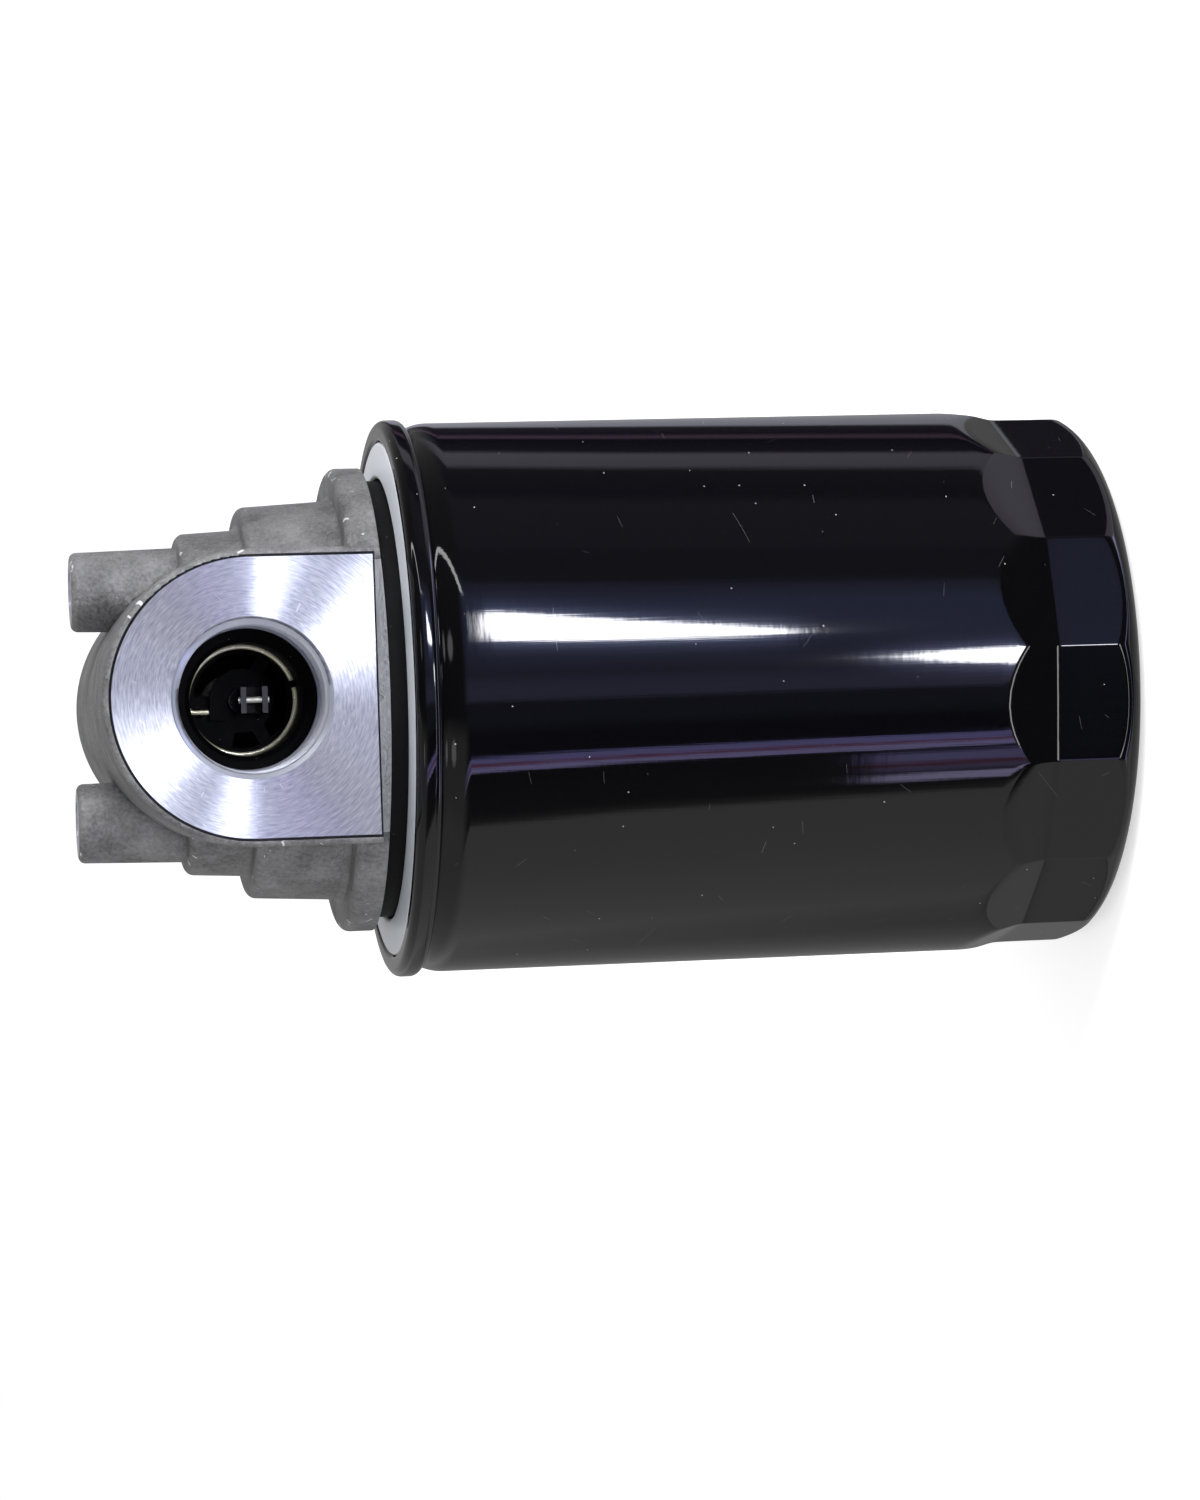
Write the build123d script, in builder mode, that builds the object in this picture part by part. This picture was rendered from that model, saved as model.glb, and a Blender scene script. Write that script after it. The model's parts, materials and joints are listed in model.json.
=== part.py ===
from build123d import *
import math
import os

os.makedirs("parts", exist_ok=True)

# A spin-on return filter with its cast head. The filter stands on the closed end of the can.
# Z runs up the can's axis from the middle of the closed end, the two ports lie along Y and the
# two mounting bosses stand in line along X. All sizes are in millimetres.

# Can, a drawn sheet shell
can_radius = 48.0
can_wall = 0.8
body_height = 116.35
shoulder_height = 4.1
neck_draw = 1.0
neck_height = 0.4
end_corner_radius = 8.2
end_draw = 0.85

# Wrench flats at the closed end, measured from a flat to the opposite corner
flat_count = 15
flat_turn = 11.7
wrench_size = 93.0
flat_height = 16.6
flat_slope = 15.2
flat_inner_corner = 0.5

# Rolled seam at the open end of the can
seam_stand_out = 0.65
seam_section = 3.65
seam_height = 4.4
seam_round = 1.5
seam_lip_round = 0.7
seam_lower_fold = 2.0
seam_gap = 0.1

# Seaming lid, pressed from thin sheet, and the gasket in its channel
lid_sheet = 0.8
lid_lip_height = 2.6
lid_fall = 0.6
lid_round = 0.7
gasket_inner_radius = 31.7
gasket_section = 6.4
gasket_height = 5.0
gasket_proud = 3.0
gasket_round = 0.6
gasket_side_gap = 0.3

# Base plate with the thread that takes the spud
plate_thickness = 4.0
plate_edge_gap = 0.3
collar_wall = 3.2
thread_engagement = 8.5
thread_gap = 0.1
inlet_hole_count = 8
inlet_hole_radius = 4.2
inlet_circle_radius = 23.6

# Threaded spud between head and can
spud_radius = 12.7
spud_bore_radius = 9.8
spud_depth_in_head = 11.4
spud_head_gap = 0.05
spud_reach = 4.0
spud_chamfer = 0.9

# Rubber drain-back diaphragm
diaphragm_sheet = 1.6
diaphragm_ring_height = 3.2
diaphragm_grip = 1.4
diaphragm_ring_wall = 4.0
diaphragm_lip_radius = 33.0
diaphragm_lip_width = 2.0
rubber_gap = 0.05

# Filter element
cap_sheet = 0.7
cap_rim = 4.5
cap_radius = 42.4
cap_round = 0.6
cap_hole_gap = 2.8
element_base = 22.0
pleat_count = 44
pleat_outer_radius = 41.0
pleat_inner_radius = 25.4
pleat_tip_width = 1.4
paper_thickness = 0.8
clip_sheet = 0.35
clip_depth = 3.5
clip_gap = 0.05
tube_radius = 23.6
tube_wall = 0.8
tube_hole_radius = 3.5
tube_hole_rows = 5
tube_hole_spacing = 15.0
tube_hole_pairs = 4

# Spring under the element
support_spring_radius = 15.0
support_wire_radius = 1.3
support_turns = 3.5
spring_end_gap = 0.05

# Cast head, a stepped round body
flange_radius = 40.4
flange_height = 5.4
drum_radius = 34.8
drum_height = 16.1
crown_radius = 30.1
crown_height = 10.6
cast_draft = 3.0
cast_round = 1.6
cast_inner_round = 1.2

# Port barrel with its two machined pads
port_height = 23.3
barrel_radius = 24.4
barrel_depth = 20.7
pad_distance = 46.4
pad_edge_round = 1.1

# Mounting bosses
boss_spacing = 40.0
boss_tip_radius = 6.85
boss_height = 50.3
boss_draft = 1.4
boss_root = 3.0
boss_edge_round = 1.2
tapped_hole_radius = 3.4
tapped_hole_depth = 18.0

# Ports and inner passages of the head
port_thread_radius = 12.06
port_chamfer = 1.3
port_thread_length = 11.0
cartridge_gap = 0.3
inlet_chamber_step = 0.9
web_position = 12.0
web_thickness = 5.0
nose_hole_radius = 9.5
passage_radius = 10.5
hub_radius = 17.0
chamber_radius = 29.0
chamber_height = 9.4
feed_width = 20.0
feed_length = 9.0
feed_gap = 1.5

# Valve cartridge
housing_wall = 2.65
housing_inset = 0.5
housing_mouth_chamfer = 0.8
housing_gap = 0.1
guide_bore_step = 0.45
guide_position = 21.4
window_width = 12.0
window_length = 16.0
window_seat_wall = 4.5
seat_radius = 6.0
seat_depth = 3.0
nose_length = 4.6
nose_lip = 1.3
ring_section_radius = 0.9
ring_groove_width = 2.2
ring_squeeze_gap = 0.05

# Guide plate, wire ring and the lug over the wire
guide_thickness = 2.0
guide_edge_gap = 0.05
guide_hub_radius = 5.4
guide_ring_width = 1.4
guide_arm_width = 2.2
guide_arm_count = 3
guide_rib_width = 4.0
guide_rib_inner = 2.8
guide_rib_height = 1.6
guide_rib_shift = -1.2
guide_web_from = 112.0
guide_web_to = 168.0
wire_radius = 0.4
wire_ring_radius = 9.1
wire_groove_clearance = 0.12
wire_gap = 0.1
hook_offset = -1.8
hook_bend_radius = 1.2
wire_end_angle = 108.0
wire_lug_angle = -73.5
wire_lug_length = 1.7
wire_lug_width = 1.2
wire_lug_height = 1.5

# Poppet with its forked stem, seal, cross pin and spring
poppet_radius = 8.2
poppet_thickness = 3.2
poppet_seat_gap = 0.3
seal_inner_radius = 5.4
seal_width = 2.5
seal_thickness = 1.2
seal_gap = 0.05
stem_radius = 2.2
stem_gap = 0.1
fork_gap = 0.9
fork_base = 0.9
fork_length = 3.6
fork_spacing = 3.6
fork_blade = 0.9
fork_height = 4.4
fork_offset = -1.8
pin_radius = 0.5
pin_gap = 0.02
pin_proud = 0.3
pin_inset = 1.2
valve_spring_radius = 4.5
valve_wire_radius = 0.5
valve_turns = 7.0

# Heights and radii that follow from the sizes above
neck_radius = can_radius - neck_draw
seam_base = body_height + shoulder_height + neck_height
seam_radius = can_radius + seam_stand_out
seam_top = seam_base + seam_height
seam_lip_radius = seam_radius - seam_section
plate_top = seam_base + seam_lower_fold
plate_bottom = plate_top - plate_thickness
lid_floor = plate_top + lid_sheet
gasket_outer_radius = gasket_inner_radius + gasket_section
lid_top = lid_floor + gasket_height - gasket_proud
head_base = lid_floor + gasket_height
port_axis = head_base + port_height
boss_top = head_base + boss_height
thread_radius = spud_radius + thread_gap
collar_radius = thread_radius + collar_wall
collar_bottom = plate_top - thread_engagement
spud_bottom = collar_bottom - spud_reach
element_top = collar_bottom - diaphragm_ring_height
media_bottom = element_base + cap_sheet
media_top = element_top - cap_sheet

# Distances along a port, measured from the can's axis. The valve opens towards the outlet at -Y.
cartridge_bore_radius = port_thread_radius - cartridge_gap
thread_end = pad_distance - port_thread_length
housing_radius = cartridge_bore_radius - housing_gap
housing_end = thread_end - housing_inset
spring_bore_radius = housing_radius - housing_wall
guide_bore_radius = spring_bore_radius + guide_bore_step
seat_face = web_position - seat_depth
poppet_far = seat_face - poppet_seat_gap
poppet_near = poppet_far - poppet_thickness
guide_near = guide_position + guide_thickness
wire_position = guide_near + wire_gap + wire_radius
stem_end = guide_near + fork_gap
fork_end = stem_end + fork_base + fork_length


def wrench_body(inset):
    """Solid of the can's outer form up to its neck, drawn in by inset on every side.

    The flats are a prism, which opens out on a slope above flat_height. The round body then
    cuts the prism back, which leaves the lens-shaped slopes above the flats.
    """
    corner_share = math.cos(math.pi / flat_count)
    corner_distance = wrench_size / (1 + corner_share)
    flat_distance = corner_distance * corner_share - inset
    slope = math.radians(flat_slope)
    slope_base = flat_height + inset * math.tan(slope / 2)
    slope_height = (can_radius + flat_inner_corner - flat_distance) / math.tan(slope)
    outer = can_radius - inset
    end_radius = corner_distance + end_draw - inset
    corner = end_corner_radius - inset
    neck = neck_radius - inset
    top = seam_base + seam_lower_fold / 2
    with BuildPart() as body:
        with BuildSketch() as outline:
            RegularPolygon(flat_distance, flat_count, major_radius=False, rotation=flat_turn)
            fillet(outline.vertices(), flat_inner_corner + can_wall - inset)
        extrude(amount=slope_base)
        with BuildSketch(Plane.XY.offset(slope_base)) as slope_outline:
            RegularPolygon(flat_distance, flat_count, major_radius=False, rotation=flat_turn)
            fillet(slope_outline.vertices(), flat_inner_corner + can_wall - inset)
        extrude(amount=slope_height, taper=-flat_slope)
        with BuildSketch(Plane.XY.offset(slope_base + slope_height)):
            Circle(can_radius + neck_draw)
        extrude(amount=top - slope_base - slope_height)
        with BuildSketch(Plane.XZ):
            with BuildLine():
                Line((0, inset), (end_radius - corner, inset))
                TangentArc((end_radius - corner, inset), (end_radius, inset + corner), tangent=(1, 0))
                Line((end_radius, inset + corner), (outer, flat_height))
                Line((outer, flat_height), (outer, body_height))
                TangentArc((outer, body_height), (neck, body_height + shoulder_height), tangent=(0, 1))
                Line((neck, body_height + shoulder_height), (neck, top))
                Line((neck, top), (0, top))
                Line((0, top), (0, inset))
            make_face()
        revolve(axis=Axis.Z, mode=Mode.INTERSECT)
    return body.part


def offset_path(points, distance):
    """The points of an open path moved sideways by distance, with mitred corners.

    Each corner moves along the mean of its two sides' normals, by the distance over the cosine
    of half the turn. The ends move along their own side's normal.
    """
    moved = []
    for index, point in enumerate(points):
        before = points[max(index - 1, 0)]
        after = points[min(index + 1, len(points) - 1)]
        normals = []
        for start, end in ((before, point), (point, after)):
            length = math.dist(start, end)
            if length > 0:
                normals.append(((end[1] - start[1]) / length, (start[0] - end[0]) / length))
        sum_x = sum(normal[0] for normal in normals)
        sum_y = sum(normal[1] for normal in normals)
        scale = distance * len(normals) / (sum_x**2 + sum_y**2)
        moved.append((point[0] + sum_x * scale, point[1] + sum_y * scale))
    return moved


def pleat_points(first, last):
    """Middle line of the folded paper from pleat first to pleat last, two points at each fold."""
    points = []
    for step in range(2 * first, 2 * last + 1):
        angle = math.pi * step / pleat_count
        radius = pleat_inner_radius if step % 2 else pleat_outer_radius
        half_fold = pleat_tip_width / 2 / radius
        for fold_angle in (angle - half_fold, angle + half_fold):
            points.append((radius * math.cos(fold_angle), radius * math.sin(fold_angle)))
    return points


# Can shell: outer form less inner form, closed by the rolled seam
with BuildPart() as can_shell:
    add(wrench_body(0))
    add(wrench_body(can_wall), mode=Mode.SUBTRACT)
    with BuildSketch(Plane.XZ) as seam:
        with BuildLine():
            Polyline(
                (neck_radius - can_wall, seam_base),
                (seam_radius, seam_base),
                (seam_radius, seam_top),
                (seam_lip_radius, seam_top),
                (seam_lip_radius, lid_floor + seam_gap),
                (seam_radius - can_wall, lid_floor + seam_gap),
                (seam_radius - can_wall, plate_top - seam_gap),
                (neck_radius - can_wall, plate_top - seam_gap),
                close=True,
            )
        make_face()
        fillet(seam.vertices().group_by(Axis.X)[-1], seam_round)
        fillet(seam.vertices().group_by(Axis.Y)[-1].sort_by(Axis.X)[0], seam_lip_round)
    revolve(axis=Axis.Z)
can_shell.part.label = "can_shell"
export_step(can_shell.part, "parts/can_shell.step")

# Seaming lid: gasket channel, fall to the seam and the flange that the seam grips
with BuildPart() as seaming_lid:
    channel_inner = gasket_inner_radius - gasket_side_gap
    channel_outer = gasket_outer_radius + gasket_side_gap
    lid_wall = seam_lip_radius - seam_gap
    lid_flange = seam_radius - can_wall - seam_gap
    with BuildSketch(Plane.XZ) as lid_profile:
        with BuildLine():
            Polyline(
                (channel_inner - lid_sheet, plate_top),
                (channel_inner - lid_sheet, plate_top + lid_lip_height),
                (channel_inner, plate_top + lid_lip_height),
                (channel_inner, lid_floor),
                (channel_outer, lid_floor),
                (channel_outer, lid_top),
                (lid_wall, lid_top - lid_fall),
                (lid_wall, lid_floor),
                (lid_flange, lid_floor),
                (lid_flange, plate_top),
                (lid_wall - lid_sheet, plate_top),
                (lid_wall - lid_sheet, lid_top - lid_fall - lid_sheet),
                (channel_outer + lid_sheet, lid_top - lid_sheet),
                (channel_outer + lid_sheet, plate_top),
                close=True,
            )
        make_face()
        fillet(lid_profile.vertices().group_by(Axis.Y)[-1], lid_round)
    revolve(axis=Axis.Z)
seaming_lid.part.label = "seaming_lid"
export_step(seaming_lid.part, "parts/seaming_lid.step")

# Rubber gasket, which stands proud of the lid and meets the head
with BuildPart() as can_gasket:
    with BuildSketch(Plane.XZ) as gasket_profile:
        with Locations((gasket_inner_radius, lid_floor)):
            Rectangle(gasket_section, gasket_height, align=(Align.MIN, Align.MIN))
        fillet(gasket_profile.vertices(), gasket_round)
    revolve(axis=Axis.Z)
can_gasket.part.label = "can_gasket"
export_step(can_gasket.part, "parts/can_gasket.step")

# Base plate: the thread runs through the plate and the collar drawn down from it
with BuildPart() as base_plate:
    plate_radius = neck_radius - can_wall - plate_edge_gap
    with BuildSketch(Plane.XZ):
        with BuildLine():
            Polyline(
                (thread_radius, collar_bottom),
                (collar_radius, collar_bottom),
                (collar_radius, plate_bottom),
                (plate_radius, plate_bottom),
                (plate_radius, plate_top),
                (thread_radius, plate_top),
                close=True,
            )
        make_face()
    revolve(axis=Axis.Z)
    with BuildSketch(Plane.XY.offset(plate_top)):
        with PolarLocations(inlet_circle_radius, inlet_hole_count):
            Circle(inlet_hole_radius)
    extrude(amount=-plate_thickness, mode=Mode.SUBTRACT)
base_plate.part.label = "base_plate"
export_step(base_plate.part, "parts/base_plate.step")

# Drain-back diaphragm: a ring on the collar, with a skirt whose lip covers the inlet holes
with BuildPart() as drainback_diaphragm:
    grip_radius = collar_radius + rubber_gap
    ring_radius = grip_radius + diaphragm_ring_wall
    ring_top = collar_bottom + diaphragm_grip
    with BuildSketch(Plane.XZ):
        with BuildLine():
            Polyline(
                (grip_radius, element_top),
                (ring_radius, element_top),
                (ring_radius, ring_top - diaphragm_sheet),
                (diaphragm_lip_radius, plate_bottom - diaphragm_sheet / 2),
                (diaphragm_lip_radius, plate_bottom),
                (diaphragm_lip_radius - diaphragm_lip_width, plate_bottom),
                (ring_radius, ring_top),
                (grip_radius, ring_top),
                close=True,
            )
        make_face()
    revolve(axis=Axis.Z)
drainback_diaphragm.part.label = "drainback_diaphragm"
export_step(drainback_diaphragm.part, "parts/drainback_diaphragm.step")

# Upper end cap: an open disc with a rim turned down over the paper
with BuildPart() as upper_end_cap:
    with BuildSketch(Plane.XZ) as upper_cap_profile:
        with BuildLine():
            Polyline(
                (spud_radius + cap_hole_gap, media_top),
                (cap_radius - cap_sheet, media_top),
                (cap_radius - cap_sheet, media_top - cap_rim),
                (cap_radius, media_top - cap_rim),
                (cap_radius, element_top),
                (spud_radius + cap_hole_gap, element_top),
                close=True,
            )
        make_face()
        fillet(upper_cap_profile.vertices().group_by(Axis.Y)[-1].sort_by(Axis.X)[-1], cap_round)
    revolve(axis=Axis.Z)
upper_end_cap.part.label = "upper_end_cap"
export_step(upper_end_cap.part, "parts/upper_end_cap.step")

# Lower end cap: a closed disc with its rim turned up
with BuildPart() as lower_end_cap:
    with BuildSketch(Plane.XZ) as lower_cap_profile:
        with BuildLine():
            Polyline(
                (0, element_base),
                (cap_radius, element_base),
                (cap_radius, media_bottom + cap_rim),
                (cap_radius - cap_sheet, media_bottom + cap_rim),
                (cap_radius - cap_sheet, media_bottom),
                (0, media_bottom),
                close=True,
            )
        make_face()
        fillet(lower_cap_profile.vertices().group_by(Axis.Y)[0].sort_by(Axis.X)[-1], cap_round)
    revolve(axis=Axis.Z)
lower_end_cap.part.label = "lower_end_cap"
export_step(lower_end_cap.part, "parts/lower_end_cap.step")

# Pleated paper: one folded strip, closed into a ring
with BuildPart() as pleated_media:
    fold_line = pleat_points(0, pleat_count + 1)
    outer_face = offset_path(fold_line, paper_thickness / 2)[1 : 4 * pleat_count + 1]
    inner_face = offset_path(fold_line, -paper_thickness / 2)[1 : 4 * pleat_count + 1]
    with BuildSketch(Plane.XY.offset(media_bottom)):
        with BuildLine():
            Polyline(*outer_face, close=True)
        make_face()
        with BuildLine():
            Polyline(*inner_face, close=True)
        make_face(mode=Mode.SUBTRACT)
    extrude(amount=media_top - media_bottom)
pleated_media.part.label = "pleated_media"
export_step(pleated_media.part, "parts/pleated_media.step")

# Seam clip: a thin strip folded over the tip of the pleat where the paper's two ends meet
with BuildPart() as media_seam_clip:
    inner_offset = paper_thickness / 2 + clip_gap
    whole_pleat = pleat_points(-1, 1)[3:7]
    clip_outside = offset_path(whole_pleat, inner_offset + clip_sheet)
    clip_inside = offset_path(whole_pleat, inner_offset)
    tip_radius = pleat_outer_radius + inner_offset + clip_sheet
    with BuildSketch(Plane.XY.offset(media_bottom + cap_rim)):
        with BuildLine():
            Polyline(*clip_outside, *reversed(clip_inside), close=True)
        make_face()
        with Locations((tip_radius, 0)):
            Rectangle(2 * clip_depth, 2 * clip_depth, mode=Mode.INTERSECT)
    extrude(amount=media_top - media_bottom - 2 * cap_rim)
media_seam_clip.part.label = "media_seam_clip"
export_step(media_seam_clip.part, "parts/media_seam_clip.step")

# Centre tube: perforated sheet that holds the paper against the oil's pressure
with BuildPart() as centre_tube:
    with BuildSketch(Plane.XY.offset(media_bottom)):
        Circle(tube_radius)
        Circle(tube_radius - tube_wall, mode=Mode.SUBTRACT)
    extrude(amount=media_top - media_bottom)
    for pair in range(tube_hole_pairs):
        turn = 180.0 * pair / tube_hole_pairs
        with BuildSketch(Plane.XZ.rotated((0, 0, turn))):
            with Locations((0, (media_bottom + media_top) / 2)):
                with GridLocations(0, tube_hole_spacing, 1, tube_hole_rows):
                    Circle(tube_hole_radius)
        extrude(amount=tube_radius, both=True, mode=Mode.SUBTRACT)
centre_tube.part.label = "centre_tube"
export_step(centre_tube.part, "parts/centre_tube.step")

# Support spring between the can's closed end and the lower end cap
with BuildPart() as support_spring:
    spring_low = can_wall + support_wire_radius + spring_end_gap
    spring_rise = element_base - can_wall - 2 * (support_wire_radius + spring_end_gap)
    with BuildLine() as support_coil:
        Helix(
            pitch=spring_rise / support_turns,
            height=spring_rise,
            radius=support_spring_radius,
            center=(0, 0, spring_low),
        )
    with BuildSketch(Plane(support_coil.line @ 0, z_dir=support_coil.line % 0)):
        Circle(support_wire_radius)
    sweep(path=support_coil.line, is_frenet=True)
support_spring.part.label = "support_spring"
export_step(support_spring.part, "parts/support_spring.step")

# Cast head: port barrel first, then the stepped round body, the bosses and the machined bores
with BuildPart() as filter_head:
    with BuildSketch(Plane.XZ):
        with Locations((0, port_axis)):
            Circle(barrel_radius)
            Rectangle(2 * barrel_radius, barrel_depth, align=(Align.CENTER, Align.MAX))
        with Locations((0, port_axis - barrel_depth)):
            Rectangle(2 * barrel_radius, barrel_radius, align=(Align.CENTER, Align.MAX), mode=Mode.SUBTRACT)
    extrude(amount=pad_distance, both=True)
    pad_rims = filter_head.faces().filter_by(Axis.Y).edges()
    fillet(pad_rims.filter_by(lambda edge: edge.center().Z > port_axis - barrel_depth + 1), pad_edge_round)
    drum_tip = drum_radius - drum_height * math.tan(math.radians(cast_draft))
    crown_tip = crown_radius - crown_height * math.tan(math.radians(cast_draft))
    flange_top = head_base + flange_height
    drum_top = flange_top + drum_height
    crown_top = drum_top + crown_height
    with BuildSketch(Plane.XZ) as core_profile:
        with BuildLine():
            Polyline(
                (0, head_base),
                (flange_radius, head_base),
                (flange_radius, flange_top),
                (drum_radius, flange_top),
                (drum_tip, drum_top),
                (crown_radius, drum_top),
                (crown_tip, crown_top),
                (0, crown_top),
                close=True,
            )
        make_face()
        corners = core_profile.vertices()
        outer_corners = [
            corners.sort_by_distance(Vector(radius, height, 0))[0]
            for radius, height in ((flange_radius, flange_top), (drum_tip, drum_top), (crown_tip, crown_top))
        ]
        fillet(outer_corners, cast_round)
        corners = core_profile.vertices()
        inner_corners = [
            corners.sort_by_distance(Vector(radius, height, 0))[0]
            for radius, height in ((drum_radius, flange_top), (crown_radius, drum_top))
        ]
        fillet(inner_corners, cast_inner_round)
    revolve(axis=Axis.Z)
    with BuildSketch(Plane((0, 0, boss_top), z_dir=(0, 0, -1))):
        with GridLocations(boss_spacing, 0, 2, 1):
            Circle(boss_tip_radius)
    extrude(amount=boss_top - crown_top + boss_root, taper=-boss_draft)
    boss_tips = filter_head.faces().filter_by(Axis.Z).group_by(Axis.Z)[-1]
    fillet(boss_tips.edges(), boss_edge_round)
    with BuildSketch(Plane.XY.offset(boss_top)):
        with GridLocations(boss_spacing, 0, 2, 1):
            Circle(tapped_hole_radius)
    extrude(amount=-tapped_hole_depth, mode=Mode.SUBTRACT)
    with BuildSketch(Plane.YZ):
        with BuildLine():
            Polyline(
                (-pad_distance, port_axis),
                (-pad_distance, port_axis + port_thread_radius + port_chamfer),
                (port_chamfer - pad_distance, port_axis + port_thread_radius),
                (-thread_end, port_axis + port_thread_radius),
                (-thread_end, port_axis + cartridge_bore_radius),
                (web_position, port_axis + cartridge_bore_radius),
                (web_position, port_axis + nose_hole_radius),
                (web_position + web_thickness, port_axis + nose_hole_radius),
                (web_position + web_thickness, port_axis + port_thread_radius + inlet_chamber_step),
                (thread_end, port_axis + port_thread_radius + inlet_chamber_step),
                (thread_end, port_axis + port_thread_radius),
                (pad_distance - port_chamfer, port_axis + port_thread_radius),
                (pad_distance, port_axis + port_thread_radius + port_chamfer),
                (pad_distance, port_axis),
                close=True,
            )
        make_face()
    revolve(axis=Axis((0, 0, port_axis), (0, 1, 0)), mode=Mode.SUBTRACT)
    spud_hole_radius = spud_radius + spud_head_gap
    spud_shoulder = head_base + spud_depth_in_head
    with BuildSketch(Plane.XZ):
        with BuildLine():
            Polyline(
                (0, head_base),
                (spud_hole_radius, head_base),
                (spud_hole_radius, spud_shoulder),
                (passage_radius, spud_shoulder),
                (passage_radius, port_axis),
                (0, port_axis),
                close=True,
            )
        make_face()
        with Locations((hub_radius, head_base)):
            Rectangle(chamber_radius - hub_radius, chamber_height, align=(Align.MIN, Align.MIN))
    revolve(axis=Axis.Z, mode=Mode.SUBTRACT)
    with BuildSketch(Plane.XY.offset(head_base + chamber_height)):
        with Locations((0, web_position + web_thickness + feed_gap)):
            Rectangle(feed_width, feed_length, align=(Align.CENTER, Align.MIN))
    extrude(amount=port_axis - port_thread_radius / 2 - head_base - chamber_height, mode=Mode.SUBTRACT)
filter_head.part.label = "filter_head"
export_step(filter_head.part, "parts/filter_head.step")

# Threaded spud: screwed into the head, it carries the can on its lower thread
with BuildPart() as threaded_spud:
    with BuildSketch(Plane.XZ) as spud_profile:
        with Locations((spud_bore_radius, spud_bottom)):
            Rectangle(
                spud_radius - spud_bore_radius,
                head_base + spud_depth_in_head - spud_bottom,
                align=(Align.MIN, Align.MIN),
            )
        chamfer(spud_profile.vertices().group_by(Axis.X)[-1], spud_chamfer)
    revolve(axis=Axis.Z)
threaded_spud.part.label = "threaded_spud"
export_step(threaded_spud.part, "parts/threaded_spud.step")

# Valve housing: a moulded cartridge from the outlet thread to the web, with its nose in the web
with BuildPart() as valve_housing:
    nose_radius = nose_hole_radius - housing_gap
    groove_radius = nose_hole_radius - ring_squeeze_gap - 2 * ring_section_radius - ring_squeeze_gap
    groove_near = web_position + nose_lip
    groove_far = groove_near + ring_groove_width
    wire_groove_radius = wire_ring_radius + wire_radius + wire_groove_clearance
    groove_half_width = wire_radius + wire_gap / 2
    with BuildSketch(Plane.YZ):
        with BuildLine():
            Polyline(
                (-housing_end, port_axis + guide_bore_radius + housing_mouth_chamfer),
                (-housing_end, port_axis + housing_radius),
                (web_position, port_axis + housing_radius),
                (web_position, port_axis + nose_radius),
                (groove_near, port_axis + nose_radius),
                (groove_near, port_axis + groove_radius),
                (groove_far, port_axis + groove_radius),
                (groove_far, port_axis + nose_radius),
                (web_position + nose_length, port_axis + nose_radius),
                (web_position + nose_length, port_axis + seat_radius),
                (seat_face, port_axis + seat_radius),
                (seat_face, port_axis + spring_bore_radius),
                (-guide_position, port_axis + spring_bore_radius),
                (-guide_position, port_axis + guide_bore_radius),
                (groove_half_width - wire_position, port_axis + guide_bore_radius),
                (groove_half_width - wire_position, port_axis + wire_groove_radius),
                (-groove_half_width - wire_position, port_axis + wire_groove_radius),
                (-groove_half_width - wire_position, port_axis + guide_bore_radius),
                (housing_mouth_chamfer - housing_end, port_axis + guide_bore_radius),
                close=True,
            )
        make_face()
    revolve(axis=Axis((0, 0, port_axis), (0, 1, 0)))
    window_middle = seat_face - window_seat_wall - window_length / 2
    with BuildSketch(Plane.XY.offset(port_axis)):
        with Locations((0, window_middle)):
            Rectangle(window_width, window_length)
    extrude(amount=housing_radius, both=True, mode=Mode.SUBTRACT)
    with BuildSketch(Plane.YZ):
        with Locations((window_middle, port_axis)):
            Rectangle(window_length, window_width)
    extrude(amount=housing_radius, both=True, mode=Mode.SUBTRACT)
    lug_start = wire_position + wire_radius + wire_gap
    lug_plane = Plane((0, -lug_start, port_axis), x_dir=(1, 0, 0), z_dir=(0, -1, 0))
    lug_reach = wire_lug_length + housing_wall / 2
    with BuildSketch(lug_plane):
        with PolarLocations(guide_bore_radius - wire_lug_length, 1, start_angle=wire_lug_angle):
            Rectangle(lug_reach, wire_lug_width, align=(Align.MIN, Align.CENTER))
    extrude(amount=wire_lug_height)
valve_housing.part.label = "valve_housing"
export_step(valve_housing.part, "parts/valve_housing.step")

# O-ring on the housing's nose, in the bore of the web
with BuildPart() as housing_o_ring:
    ring_middle = (groove_near + groove_far) / 2
    ring_radius_middle = nose_hole_radius - ring_squeeze_gap - ring_section_radius
    with BuildSketch(Plane.YZ):
        with Locations((ring_middle, port_axis + ring_radius_middle)):
            Circle(ring_section_radius)
    revolve(axis=Axis((0, 0, port_axis), (0, 1, 0)))
housing_o_ring.part.label = "housing_o_ring"
export_step(housing_o_ring.part, "parts/housing_o_ring.step")

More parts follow.
